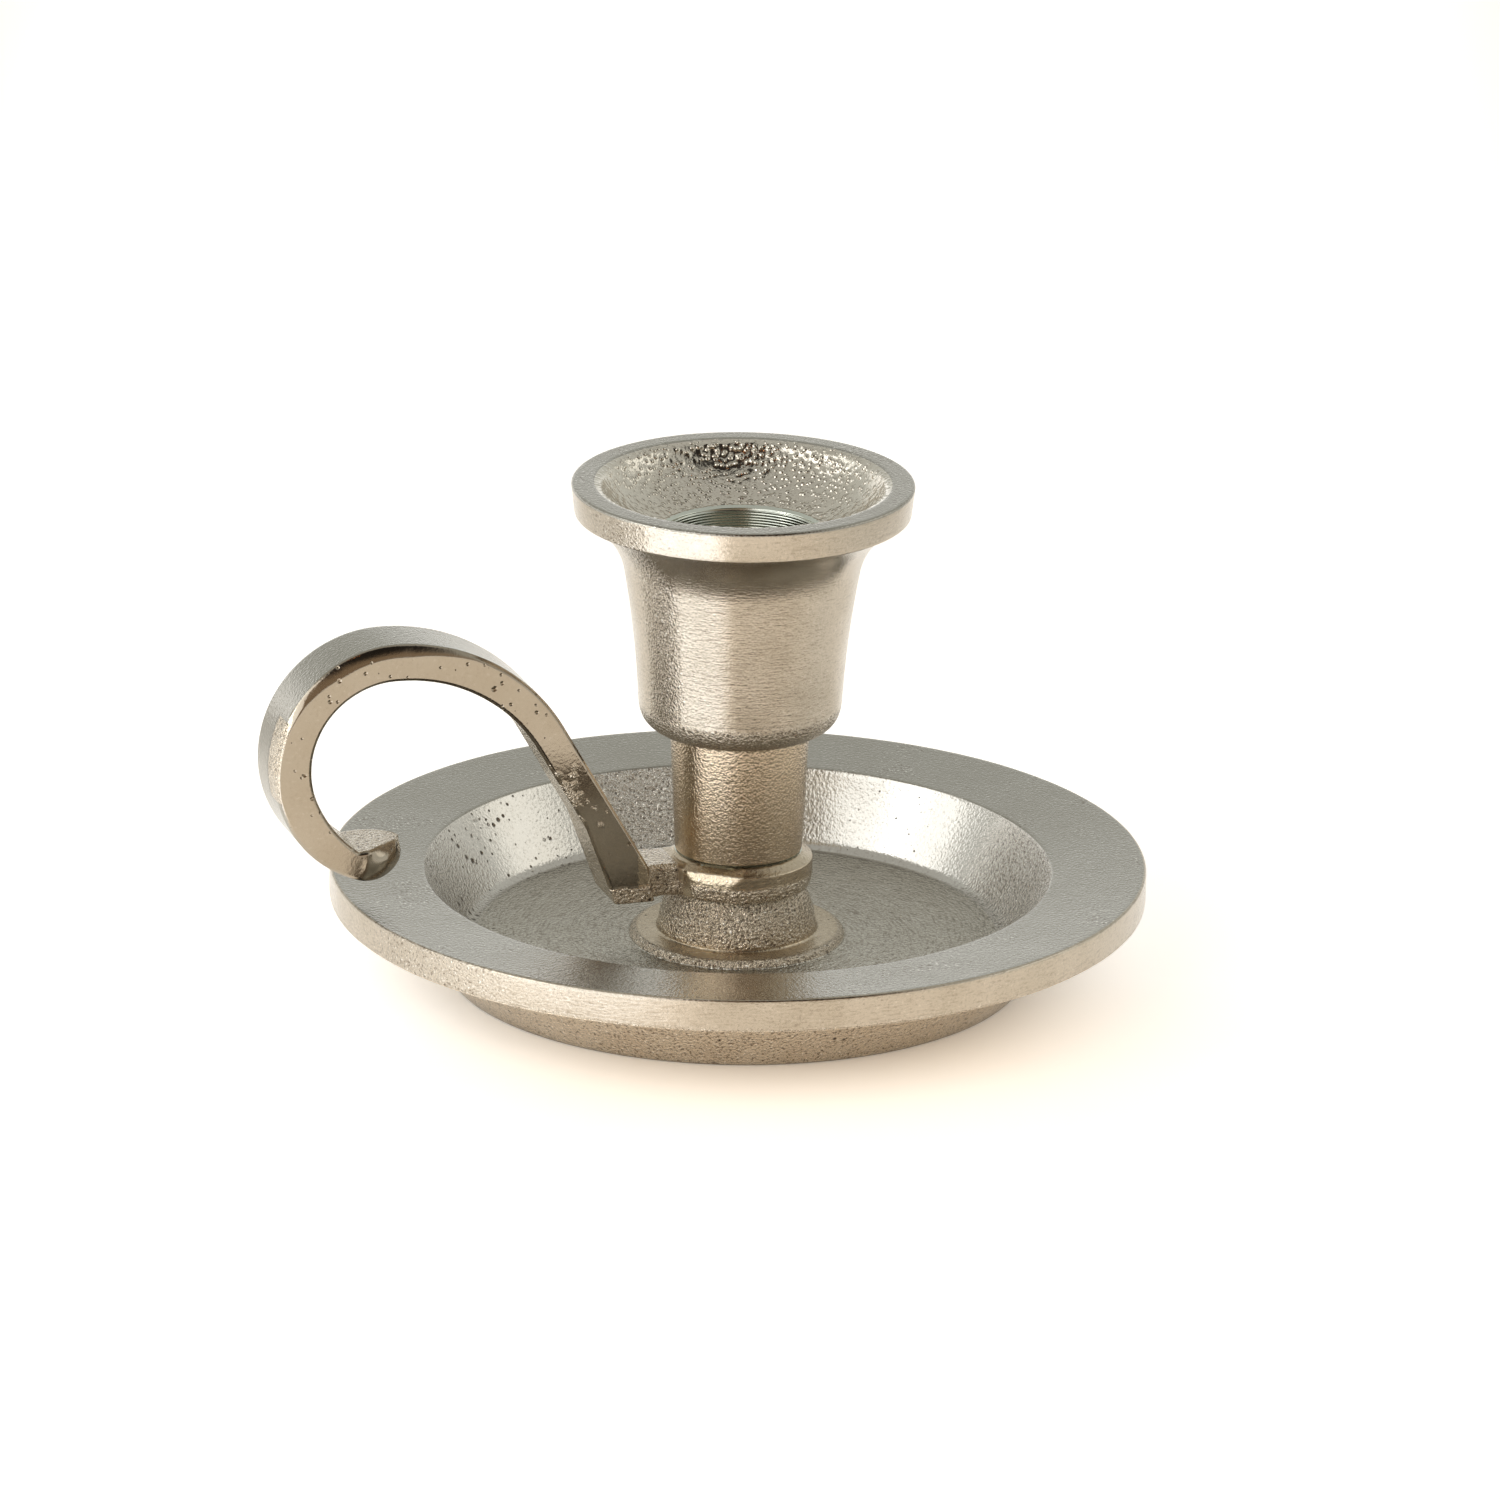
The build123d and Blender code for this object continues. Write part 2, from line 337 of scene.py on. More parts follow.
def band(low, low_count, high, high_count):
    """Faces between two turned rows, of which one may have more points than the other."""
    coarse, fine = min(low_count, high_count), max(low_count, high_count)
    per = fine // coarse
    faces = []
    for i in range(coarse if coarse > 1 else fine):
        if coarse == 1:
            few, many = [0], [i, i + 1]
        else:
            few, many = [i, i + 1], list(range(i * per, (i + 1) * per + 1))
        lower, upper = (few, many) if low_count <= high_count else (many, few)
        face = [low + k % low_count for k in reversed(lower)] + [high + k % high_count for k in upper]
        faces.append(face)
    return faces


def turned(name, edges, closed):
    """A mesh turned about the candle's axis, with its finishes on its faces and points."""
    points, names, grids = half_section(edges, closed)
    rows, vertices = [], []
    for i, (reach, height) in enumerate(points):
        count = row_count(reach, min(grids[i], grids[i - 1]))
        rows.append((len(vertices), count))
        angles = 2 * pi * np.arange(count) / count
        vertices += [(reach * cos(a), reach * sin(a), height) for a in angles]
    faces, face_names = [], []
    for i in range(len(rows) if closed else len(rows) - 1):
        following = rows[(i + 1) % len(rows)]
        new = band(*rows[i], *following)
        faces += new
        face_names += [names[i]] * len(new)
    twice_area = sum(a[0] * b[1] - b[0] * a[1] for a, b in zip(points, points[1:] + points[:1]))
    if twice_area > 0:
        faces = [face[::-1] for face in faces]
    strengths = []
    for i, (_, count) in enumerate(rows):
        around = (np.degrees(2 * pi * np.arange(count) / count) + 180) % 360 - 180
        both = np.zeros((count, len(Finish._fields)))
        for name in (names[i], names[i - 1 if closed else max(i - 1, 0)]):
            coarse = np.interp(around, *coarse_round.get(name, ([0], [1])))
            pitted = np.interp(around, *pitted_round.get(name, ([0], [1])))
            shares = np.column_stack((coarse, coarse, pitted, np.ones(count)))
            both += 0.5 * np.array(finishes[name]) * shares
        strengths += list(both)
    mesh = bpy.data.meshes.new(name)
    mesh.from_pydata([Vector(vertex) * MM for vertex in vertices], [], faces)
    finish_mesh(mesh, face_names, np.array(strengths))
    return mesh


def finish_mesh(mesh, face_names, strengths):
    """Gives a mesh its smooth shading, the finish of each face and the skin of each point."""
    mesh.shade_smooth()
    kinds = mesh.attributes.new("finish", "INT", "FACE")
    kinds.data.foreach_set("value", [finish_names.index(name) for name in face_names])
    for place, field in enumerate(Finish._fields):
        values = mesh.attributes.new(field, "FLOAT", "POINT")
        values.data.foreach_set("value", np.ascontiguousarray(strengths[:, place], dtype=np.float32))


def drip_pan_mesh():
    """Rim, wall, floor, pedestal, standing ring and the screw's pocket."""
    rim_inner_r = pan_r - rim_w
    wall_foot_r = rim_inner_r - wall_lean
    rim_bottom = pan_h - rim_t
    foot_r = wall_foot_r + wall_foot_w
    standing_r = foot_r - standing_ring_w
    collar_top = floor_top + collar_h
    edges = [
        Edge(screw_hole_r, pocket_top, 0, 0, "bored", 1.5),
        Edge(screw_hole_r, pedestal_top, 0, 0, "bored", 1.5),
        Edge(pedestal_top_r, pedestal_top, pedestal_top_round, pedestal_bow, "sand_cast", 0.36),
        Edge(pedestal_foot_r, collar_top, pedestal_foot_round, 0, "polished", 0.42),
        Edge(collar_r, collar_top, collar_round, 0, "sand_cast", 0.4),
        Edge(collar_r, floor_top, collar_foot_round, 0, "scoured", 0.5),
        Edge(wall_foot_r, floor_top, pan_inner_round, 0, "wall_cast", 0.42),
        Edge(rim_inner_r, pan_h - rim_fall, edge_round, 0, "lapped", 0.6),
        Edge(pan_r, pan_h, edge_round, 0, "linished", 0.55),
        Edge(pan_r, rim_bottom, edge_round, 0, "sand_cast", 0.9),
        Edge(rim_inner_r + wall_top_w, rim_bottom - rim_root_fall, pan_outer_round, 0, "sand_cast", 0.6),
        Edge(foot_r, 0, edge_round, 0, "lapped", 0.9),
        Edge(standing_r, 0, edge_round, 0, "sand_cast", 0.8),
        Edge(standing_r, floor_rise, edge_round, 0, "sand_cast", 1.1),
        Edge(pocket_r, floor_rise, edge_round, 0, "bored", 1.0),
        Edge(pocket_r, pocket_top, 0, 0, "bored", 1.0),
    ]
    return turned("drip_pan_casting", edges, True)


def candle_socket_mesh():
    """Spigot, stem, cup, cove, flange, dish and bore."""
    stem_top = ring_top + stem_h
    cove_foot = stem_top + cup_side_h
    flange_foot = cove_foot + cup_cove_h
    flange_top = flange_foot + flange_t
    dish_foot = flange_top - dish_depth
    spigot_foot = pedestal_top + spigot_short
    side_length = hypot(cup_neck_r - cup_foot_r, cup_side_h)
    side_heading = atan2(cup_side_h, cup_neck_r - cup_foot_r) - 2 * atan(2 * cup_side_bow / side_length)
    cove_length = hypot(flange_foot_r - cup_neck_r, cup_cove_h)
    cove_lean = side_heading - atan2(cup_cove_h, flange_foot_r - cup_neck_r)
    cove_bow = cove_length / 2 * tan(cove_lean / 2)
    edges = [
        Edge(0, drill_point, 0, 0, "bored", 1.5),
        Edge(tapped_r, tap_end, 0, 0, "bored", 1.0),
        Edge(tapped_r, spigot_foot, 0, 0, "bored", 1.0),
        Edge(spigot_r, spigot_foot, 0, 0, "bored", 1.0),
        Edge(spigot_r, ring_top, 0, 0, "bored", 1.0),
        Edge(stem_foot_r - seam_depth, ring_top, 0, 0, "sand_cast", 0.4),
        Edge(stem_foot_r - seam_depth, ring_top + seam_h, 0, 0, "sand_cast", 0.4),
        Edge(stem_foot_r, ring_top + seam_h, stem_foot_round, 0, "brushed", 0.4),
        Edge(stem_top_r, stem_top, stem_top_round, 0, "brushed", 0.4),
        Edge(cup_foot_r, stem_top, cup_foot_round, cup_side_bow, "linished", 0.45, "scuffed"),
        Edge(cup_neck_r, cove_foot, 0, cove_bow, "linished", 0.45),
        Edge(flange_foot_r, flange_foot, edge_round, 0, "linished", 0.45),
        Edge(flange_r, flange_top, edge_round, 0, "lapped", 0.4),
        Edge(flange_r - lip_w, flange_top, lip_inner_round, dish_bow, "pebbled", 0.27),
        Edge(bore_r + bore_chamfer, dish_foot, 0, 0, "bored", 0.4),
        Edge(bore_r, dish_foot - bore_chamfer, 0, 0, "bored", 0.6),
        Edge(bore_r, dish_foot - bore_depth, 0, 0, "bored", 1.5),
        Edge(0, dish_foot - bore_depth, 0, 0, "bored", 1.5),
    ]
    return turned("candle_socket_casting", edges, False)


# The handle: ring, neck and bar

# How much of a narrow section two bevels may take each, and how far a bevel swells towards its corner
bevel_room_share = 0.42
bevel_swell_share = 0.22


def polar(centre, radius, degrees):
    """Points on a circle of the side view, by their angles up from the way out."""
    angles = np.radians(degrees)
    return np.array(centre) + radius * np.column_stack((np.cos(angles), np.sin(angles)))


def along(path, shares):
    """Points of a path of straight runs, by their shares of its length."""
    path = np.array(path)
    marks = np.concatenate(([0], np.cumsum(np.hypot(*np.diff(path, axis=0).T))))
    marks = marks / marks[-1]
    return np.column_stack([np.interp(shares, marks, path[:, axis]) for axis in (0, 1)])


def tangent_arc(start, heading, end, count):
    """Points on the arc that leaves start along a heading in radians and ends at end."""
    lean = heading - atan2(end[1] - start[1], end[0] - start[0])
    lean = (lean + pi) % (2 * pi) - pi
    return arc_run(start, heading, -2 * lean, dist(start, end) / (2 * sin(abs(lean))), count)


def bar_side_view(grid):
    """Outer and inner points of the bar in pairs, from foot to tip, and the angle round the loop of each.

    The shank and the hook's filed end have no such angle: theirs only marks how far along they are.
    """
    loop_centre = (loop_reach, pedestal_top + loop_rise)
    inner_r = loop_r - loop_t
    slope = radians(shank_slope_deg)
    inner_shoulder_r = shoulder_r + (loop_t * cos(slope) - shank_t) / (1 - cos(slope))
    outer_centre = (loop_reach, loop_centre[1] - (shoulder_r - loop_r))
    inner_centre = (loop_reach, loop_centre[1] - (inner_shoulder_r - inner_r))
    shank_deg = 90 + shank_slope_deg
    turns = np.linspace(shank_deg, 90, ceil(slope * shoulder_r / grid) + 1)
    outer_shoulder = polar(outer_centre, shoulder_r, turns)
    inner_shoulder = polar(inner_centre, inner_shoulder_r, turns)
    outer_end, inner_end = outer_shoulder[0], inner_shoulder[0]
    root = (outer_end[0] - (outer_end[1] - ring_top) / tan(slope), ring_top)
    start = (root[0] - root_set, pedestal_top)
    foot = (root[0] + foot_w, pedestal_top)
    heel_z = pedestal_top + foot_h
    heel = (inner_end[0] - (inner_end[1] - heel_z) / tan(slope), heel_z)
    shares = np.linspace(0, 1, ceil(dist(start, outer_end) / grid) + 1)
    outer = [along([start, root, outer_end], shares)[:-1], outer_shoulder[:-1]]
    inner = [along([foot, heel, inner_end], shares)[:-1], inner_shoulder[:-1]]
    angles = [shank_deg + shank_marked_deg * (1 - shares[:-1]), turns[:-1]]

    turns = np.linspace(90, hook_turn_deg, ceil(radians(90 - hook_turn_deg) * loop_r / grid) + 1)
    outer.append(polar(loop_centre, loop_r, turns)[:-1])
    inner.append(polar(loop_centre, inner_r, turns)[:-1])
    angles.append(turns[:-1])

    count = ceil(radians(hook_turn_deg - crease_deg) * loop_r / grid) + 1
    turns = np.linspace(hook_turn_deg, crease_deg, count)
    bend = polar(loop_centre, inner_r, [hook_turn_deg])[0]
    crease = polar(loop_centre, loop_r - crease_t, [crease_deg])[0]
    outer.append(polar(loop_centre, loop_r, turns)[:-1])
    inner.append(tangent_arc(bend, radians(hook_turn_deg) - pi / 2, crease, len(turns) - 1)[:-1])
    angles.append(turns[:-1])

    tip = (loop_reach - hook_tip_in, loop_centre[1] - loop_r + hook_tip_h)
    tip_top = (tip[0] + hook_tip_set, tip[1] + hook_tip_t)
    under = polar(loop_centre, loop_r, np.linspace(crease_deg, hook_under_deg, 9))
    nose = tangent_arc(under[-1], radians(hook_under_deg) - pi / 2, tip, 16)
    count = ceil(dist(crease, tip) / (tip_grid_share * grid)) + 1
    shares = 1 - np.linspace(1, 0, count) ** tip_crowd_power
    outer.append(along(np.concatenate((under, nose[1:])), shares))
    inner.append(along([crease, tip_top], shares))
    angles.append(crease_deg - tip_marked_deg * shares)
    return np.concatenate(outer), np.concatenate(inner), np.concatenate(angles)


def lofted(name, outer, inner, near, far, bevels, crown, grid):
    """A closed mesh through rounded sections that stand across the side view.

    near and far are how far each section reaches to either side. bevels holds for each of its four edges
    how much the edge takes off the face and off the side. crown is how far the near side swells.
    """
    across = max(6, ceil(2 * near.max() / grid))
    through = max(4, ceil(np.hypot(*(outer - inner).T).max() / grid))
    steps = 4
    vertices = []
    for k in range(len(outer)):
        thick = dist(outer[k], inner[k])
        way = (outer[k] - inner[k]) / thick
        room = min(1.0, bevel_room_share * (near[k] + far[k]) / bevels[:, k, 0].max(),
                   bevel_room_share * thick / bevels[:, k, 1].max())
        cuts = bevels[:, k] * room
        corners = [
            ((-near[k] + cuts[0][0], thick), (-near[k], thick - cuts[0][1])),
            ((-near[k], cuts[1][1]), (-near[k] + cuts[1][0], 0)),
            ((far[k] - cuts[2][0], 0), (far[k], cuts[2][1])),
            ((far[k], thick - cuts[3][1]), (far[k] - cuts[3][0], thick)),
        ]
        loop = []
        for i, (begin, end) in enumerate(corners):
            following = corners[(i + 1) % 4][0]
            middle = np.mean((begin, end), axis=0)
            corner = [(-near[k], thick), (-near[k], 0), (far[k], 0), (far[k], thick)][i]
            swell = middle + bevel_swell_share * (np.array(corner) - middle)
            loop += [begin]
            loop += [(1 - t) ** 2 * np.array(begin) + 2 * t * (1 - t) * swell + t * t * np.array(end)
                     for t in np.arange(1, steps) / steps]
            count = through if i in (0, 2) else across
            for t in np.arange(count) / count:
                point = (1 - t) * np.array(end) + t * np.array(following)
                if i == 0:
                    point[0] -= crown[k] * 4 * t * (1 - t)
                loop.append(point)
        for y, off in loop:
            x, z = inner[k] + way * off
            vertices.append((-x, y, z))
    ring = len(vertices) // len(outer)
    faces = []
    for k in range(len(outer) - 1):
        for j in range(ring):
            a, b = k * ring + j, k * ring + (j + 1) % ring
            faces.append((a, b, b + ring, a + ring))
    faces += [tuple(range(ring)), tuple(range(len(vertices) - 1, len(vertices) - 1 - ring, -1))]
    mesh = bpy.data.meshes.new(name)
    mesh.from_pydata([Vector(vertex) * MM for vertex in vertices], [], faces)
    return mesh


def even_bevels(count, size):
    """The same small bevel on all four edges of each section."""
    return np.full((4, count, 2), size)


def bar_mesh():
    """The flat bar: foot, shank, loop and hooked end."""
    outer, inner, turned_to = bar_side_view(handle_grid)
    near = np.full(len(outer), bar_w / 2)
    far = near.copy()
    # The end is filed off slantwise from the near side, with a sharp start, and rounded to the far side.
    tip_reach = loop_reach - hook_tip_in
    reach = (outer[:, 0] + inner[:, 0]) / 2
    at_end = (turned_to < crease_deg) & (reach < tip_reach + hook_nose_length)
    share = np.clip((reach[at_end] - reach.take(-1)) / hook_nose_length, 0, 1)
    filed_to = hook_end_near + share * (bar_w / 2 - hook_end_near) / hook_filed_share
    near[at_end] = np.minimum(bar_w / 2, filed_to)
    near[at_end] *= np.sqrt(1 - (1 - np.minimum(1, share / hook_round_share)) ** 2)
    far[at_end] = bar_w / 2 * np.sqrt(1 - (1 - share) ** 2)
    near[-1] = far[-1] = hook_last_w
    bevels = even_bevels(len(outer), bar_bevel)
    # The near side's outer edge has a broad ground bevel over the loop's top, and a scraped one farther out.
    angle = turned_to[::-1]
    marks = [-100, -30, -12, 8, 22, 38, 62, 95, 114, 135, 210]
    off_face = [0.4, 0.4, 1.3, 2.6, 1.2, 0.6, 0.9, 0.9, 0.5, 0.45, 0.45]
    off_side = [0.4, 0.4, 0.3, 0.6, 0.7, 1.1, 1.9, 1.7, 0.6, 0.45, 0.45]
    bevels[0, :, 0] = np.interp(angle, marks, off_face)[::-1]
    bevels[0, :, 1] = np.interp(angle, marks, off_side)[::-1]
    crown = np.zeros(len(outer))
    crown[at_end] = hook_crown * np.sin(pi * share) ** hook_crown_power
    return lofted("bar", outer, inner, near, far, bevels, crown, handle_grid)


def neck_mesh():
    """The rough neck between ring and shank, waisted and a little sunk."""
    reach = np.arange(neck_from, neck_to, handle_grid)
    marks = [neck_from, 10.0, 12.3, 14.5, neck_to]
    half = np.interp(reach, marks, [4.6, 4.5, 4.1, 4.4, 4.9])
    top = np.interp(reach, marks, [0.35, 0.3, 0.2, 0.1, 0.6])
    outer = np.column_stack((reach, ring_top - top))
    inner = np.column_stack((reach, np.full(len(reach), pedestal_top + neck_lift)))
    bevels = even_bevels(len(reach), neck_bevel)
    return lofted("neck", outer, inner, half, half, bevels, np.zeros(len(reach)), handle_grid)


def ring_mesh(count=320):
    """The ring between pedestal and stem, with two flats by the handle that are ground steeper above."""
    angles = 2 * pi * np.arange(count) / count
    off_flat = np.abs(np.abs(angles - pi) - radians(ring_flat_deg))
    off_flat = np.minimum(off_flat, radians(ring_flat_reach_deg))
    full_r = ring_r - ring_inset
    flat_r = ring_r - ring_flat_depth

    def cut_back(reach, limit, soft):
        """The lesser of two reaches, with the corner between them worn round."""
        return reach - soft * np.log(np.exp((reach - limit) / soft) + 1)

    def outer_r(height):
        """How far the ring reaches all round at a height: a cylinder with two flats, ground off above."""
        upright = cut_back(full_r, flat_r / np.cos(off_flat), ring_flat_soft)
        above = (height - (ring_top - ring_flat_drop)) * tan(radians(ring_flat_lean_deg))
        return cut_back(upright, (flat_r + ring_lean_set - above) / np.cos(off_flat), ring_lean_soft)

    rows = [(eye_r, pedestal_top, 0), (eye_r, ring_top, 0)]
    rows.append((ring_top_row_share * (eye_r + ring_r), ring_top, 0))
    edge_top = ring_top - ring_slope_h
    for share in np.linspace(0, 1, 5):
        in_slope = -ring_slope_w + share * (ring_slope_w - ring_edge_round)
        rows.append((in_slope, ring_top - share * ring_slope_h, 1))
    for degrees in (60, 35, 12):
        lift = edge_top - ring_edge_round * (1 - sin(radians(degrees)))
        rows.append((-ring_edge_round * (1 - cos(radians(degrees))), lift, 1))
    side_top, side_foot = edge_top - ring_edge_round, pedestal_top + edge_round
    for share in np.linspace(0, 1, 11):
        bow = ring_side_bow * max(0.0, 2 * share - 1) ** 2
        rows.append((-bow, side_top + share * (side_foot - side_top), 1))
    for degrees in (-30, -60, -90):
        lift = pedestal_top + edge_round * (1 + sin(radians(degrees)))
        rows.append((-ring_side_bow - edge_round * (1 - cos(radians(degrees))), lift, 1))
    vertices = []
    for reach, height, outside in rows:
        radii = outer_r(height) + reach if outside else np.full(count, reach)
        vertices += [(r * cos(a), r * sin(a), height) for r, a in zip(radii, angles)]
    faces = []
    for k in range(len(rows)):
        for j in range(count):
            low, high = k * count, (k + 1) % len(rows) * count
            faces.append((low + j, high + j, high + (j + 1) % count, low + (j + 1) % count))
    mesh = bpy.data.meshes.new("ring")
    mesh.from_pydata([Vector(vertex) * MM for vertex in vertices], [], faces)
    return mesh


def plain_mesh(thing, name):
    """The finished mesh of an object with modifiers."""
    bpy.context.view_layer.update()
    evaluated = thing.evaluated_get(bpy.context.evaluated_depsgraph_get())
    mesh = bpy.data.meshes.new_from_object(evaluated)
    mesh.name = name
    return mesh


def added(name, mesh):
    """A new object at the origin that shows a mesh."""
    thing = bpy.data.objects.new(name, mesh)
    bpy.context.scene.collection.objects.link(thing)
    return thing


def outward(mesh):
    """Points the faces of a closed mesh outwards."""
    work = bmesh.new()
    work.from_mesh(mesh)
    bmesh.ops.remove_doubles(work, verts=work.verts, dist=merge_distance)
    bmesh.ops.recalc_face_normals(work, faces=work.faces)
    work.to_mesh(mesh)
    work.free()
    return mesh


def handle_mesh():
    """Ring, neck and bar joined into one closed mesh, with their finishes."""
    parts = [added(mesh.name, outward(mesh)) for mesh in (ring_mesh(), neck_mesh(), bar_mesh())]
    body = parts[0]
    for part in parts[1:]:
        join = body.modifiers.new(part.name, "BOOLEAN")
        join.operation = "UNION"
        join.solver = "EXACT"
        join.object = part
    mesh = plain_mesh(body, "finger_loop_handle_casting")
    for part in parts:
        bpy.data.objects.remove(part)
    count = len(mesh.polygons)
    centres = np.empty(count * 3)
    normals = np.empty(count * 3)
    mesh.polygons.foreach_get("center", centres)
    mesh.polygons.foreach_get("normal", normals)
    centres = centres.reshape(-1, 3) / MM
    normals = normals.reshape(-1, 3)
    reach, height = -centres[:, 0], centres[:, 2]
    off_x, off_z = reach - loop_reach, height - (pedestal_top + loop_rise)
    from_centre = np.hypot(off_x, off_z)
    out = (-normals[:, 0] * off_x + normals[:, 2] * off_z) / from_centre
    face_names = np.full(count, "polished", dtype=object)
    flat_side = np.abs(normals[:, 1]) > side_facing
    near_side = normals[:, 1] < -side_facing
    outer_face = (reach > neck_to) & ~flat_side & (out > outer_facing)
    turned_to = np.degrees(np.arctan2(off_z, off_x))
    scraped = (turned_to > scraped_from_deg) & (turned_to < scraped_to_deg)
    scraped &= centres[:, 1] < scraped_w - bar_w / 2
    face_names[reach > neck_to] = "sand_cast"
    face_names[(reach > neck_to) & flat_side] = "filed"
    face_names[outer_face & ~scraped] = "lapped"
    ragged = np.array([noise.noise(Vector(centre) * ragged_per_mm) for centre in centres])
    inner_line = bar_side_view(handle_grid)[1]
    rising = inner_line[:inner_line[:, 1].argmax()]
    off_inner_edge = (np.interp(height, rising[:, 1], rising[:, 0]) - reach) * sin(radians(shank_slope_deg))
    rough_length = rough_shank_length * (rough_length_shares[0] + rough_length_shares[1] * ragged)
    rough_w = rough_shank_w * (rough_w_shares[0] + rough_w_shares[1] * ragged)
    rough_shank = (np.abs(height - rough_shank_z) < rough_length) & (off_inner_edge < rough_w)
    on_shank = reach < shank_end
    rough_foot = height < pedestal_top + rough_foot_h
    face_names[near_side & on_shank & (rough_shank | rough_foot)] = "sand_cast"
    on_neck = (reach > neck_skin_from) & (reach < neck_skin_to)
    face_names[on_neck & (height < ring_top + neck_skin_over)] = "sand_cast"
    in_eye = np.hypot(centres[:, 0], centres[:, 1]) < ring_r - bored_edge_w
    face_names[(reach < neck_skin_from) & in_eye] = "bored"
    point_sum = np.zeros((len(mesh.vertices), len(Finish._fields)))
    point_count = np.zeros(len(mesh.vertices))
    for polygon, name in zip(mesh.polygons, face_names):
        for vertex in polygon.vertices:
            point_sum[vertex] += finishes[name]
            point_count[vertex] += 1
    finish_mesh(mesh, face_names, point_sum / point_count[:, None])
    return mesh


# The castings' skin, made by one tree of geometry nodes

def skin_tree(materials):
    """A tree that gives a smooth casting its waves, sand grain, pebbles and pits, and its finishes.

    All four are taken off the smooth form, so that a casting stays within its size: what stands as a pebble
    is left where the tree takes valleys off round it.
    """
    tree = bpy.data.node_groups.new("casting_skin", "GeometryNodeTree")
    tree.interface.new_socket("Geometry", in_out="OUTPUT", socket_type="NodeSocketGeometry")
    tree.interface.new_socket("Geometry", in_out="INPUT", socket_type="NodeSocketGeometry")
    for name in [*skin_sizes, "Seed"]:
        tree.interface.new_socket(name, in_out="INPUT", socket_type="NodeSocketFloat")
    given = node(tree, "NodeGroupInput").outputs
    position = node(tree, "GeometryNodeInputPosition").outputs[0]
    normal = node(tree, "GeometryNodeInputNormal").outputs[0]
    often = {}
    for size in ("Wave size", "Grain size", "Pebble size", "Pit spacing"):
        often[size] = node(tree, "ShaderNodeMath", {0: 1.0, 1: given[size]}, operation="DIVIDE").outputs[0]

    waves = node(tree, "ShaderNodeTexNoise", {"Vector": position, "W": given["Seed"],
                 "Scale": often["Wave size"], "Detail": 1.0}, noise_dimensions="4D").outputs["Fac"]
    grain = node(tree, "ShaderNodeTexNoise", {"Vector": position, "W": given["Seed"],
                 "Scale": often["Grain size"], "Detail": 2.0, "Roughness": 0.6},
                 noise_dimensions="4D").outputs["Fac"]
    cells = node(tree, "ShaderNodeTexVoronoi", {"Vector": position, "Scale": often["Pebble size"]}).outputs
    off_bead = node(tree, "ShaderNodeMath", {0: cells["Distance"], 1: bead_share},
                    operation="DIVIDE").outputs[0]
    valleys = node(tree, "ShaderNodeMath", {0: off_bead, 1: 2.0}, operation="POWER",
                   use_clamp=True).outputs[0]
    holes = node(tree, "ShaderNodeTexVoronoi", {"Vector": position, "W": given["Seed"],
                 "Scale": often["Pit spacing"]}, voronoi_dimensions="4D", feature="F1").outputs
    chance = node(tree, "ShaderNodeSeparateXYZ", {0: holes["Color"]}).outputs[0]
    hole_at = node(tree, "ShaderNodeMath", {0: holes["Distance"], 1: given["Pit spacing"]},
                   operation="MULTIPLY").outputs[0]
    hole_r = node(tree, "ShaderNodeMath", {0: given["Pit radius"], 1: chance},
                  operation="MULTIPLY").outputs[0]
    pits = node(tree, "ShaderNodeMapRange", {"Value": hole_at, "From Min": 0.0, "From Max": hole_r,
                "To Min": 1.0, "To Max": 0.0}, interpolation_type="SMOOTHSTEP").outputs[0]

    total = 0.0
    for pattern, amount, field in ((waves, "Wave depth", "waves"), (grain, "Grain depth", "grain"),
                                   (valleys, "Pebble height", "pebbles"), (pits, "Pit depth", "pits")):
        strength = node(tree, "GeometryNodeInputNamedAttribute", {"Name": field}, data_type="FLOAT")
        sized = node(tree, "ShaderNodeMath", {0: pattern, 1: given[amount]},
                     operation="MULTIPLY").outputs[0]
        masked = node(tree, "ShaderNodeMath", {0: sized, 1: strength.outputs["Attribute"]},
                      operation="MULTIPLY").outputs[0]
        total = node(tree, "ShaderNodeMath", {0: total, 1: masked}, operation="SUBTRACT").outputs[0]
    offset = node(tree, "ShaderNodeVectorMath", {0: normal, "Scale": total}, operation="SCALE").outputs[0]
    shape = node(tree, "GeometryNodeSetPosition",
                 {"Geometry": given["Geometry"], "Offset": offset}).outputs[0]
    shape = node(tree, "GeometryNodeRealizeInstances", {"Geometry": shape}).outputs[0]
    kind = node(tree, "GeometryNodeInputNamedAttribute", {"Name": "finish"},
                data_type="INT").outputs["Attribute"]
    for place, name in enumerate(finish_names):
        chosen = node(tree, "FunctionNodeCompare", {2: kind, 3: place}, data_type="INT",
                      operation="EQUAL").outputs[0]
        shape = node(tree, "GeometryNodeSetMaterial", {"Geometry": shape, "Selection": chosen,
                     "Material": materials[name]}).outputs[0]
    node(tree, "NodeGroupOutput", {0: shape})
    return tree


def skinned(name, mesh, tree, seed):
    """The finished object of a casting: its smooth mesh with its skin."""
    smooth = added(name + "_smooth", mesh)
    skin = smooth.modifiers.new("skin", "NODES")
    skin.node_group = tree
    for socket in tree.interface.items_tree:
        if socket.name in skin_sizes:
            skin[socket.identifier] = skin_sizes[socket.name] * MM
        if socket.name == "Seed":
            skin[socket.identifier] = seed
    piece = added(name, plain_mesh(smooth, name))
    bpy.data.objects.remove(smooth)
    return piece


# Finishes

# The marks in the plating, in millimetres. Real belt strokes, grains and pinholes are mostly finer than the
# render can show, so they are drawn as coarse as they need to be.
Grain = namedtuple("Grain", "width depth")
Strokes = namedtuple("Strokes", "length width depth")
Pits = namedtuple("Pits", "spacing largest_r depth code")

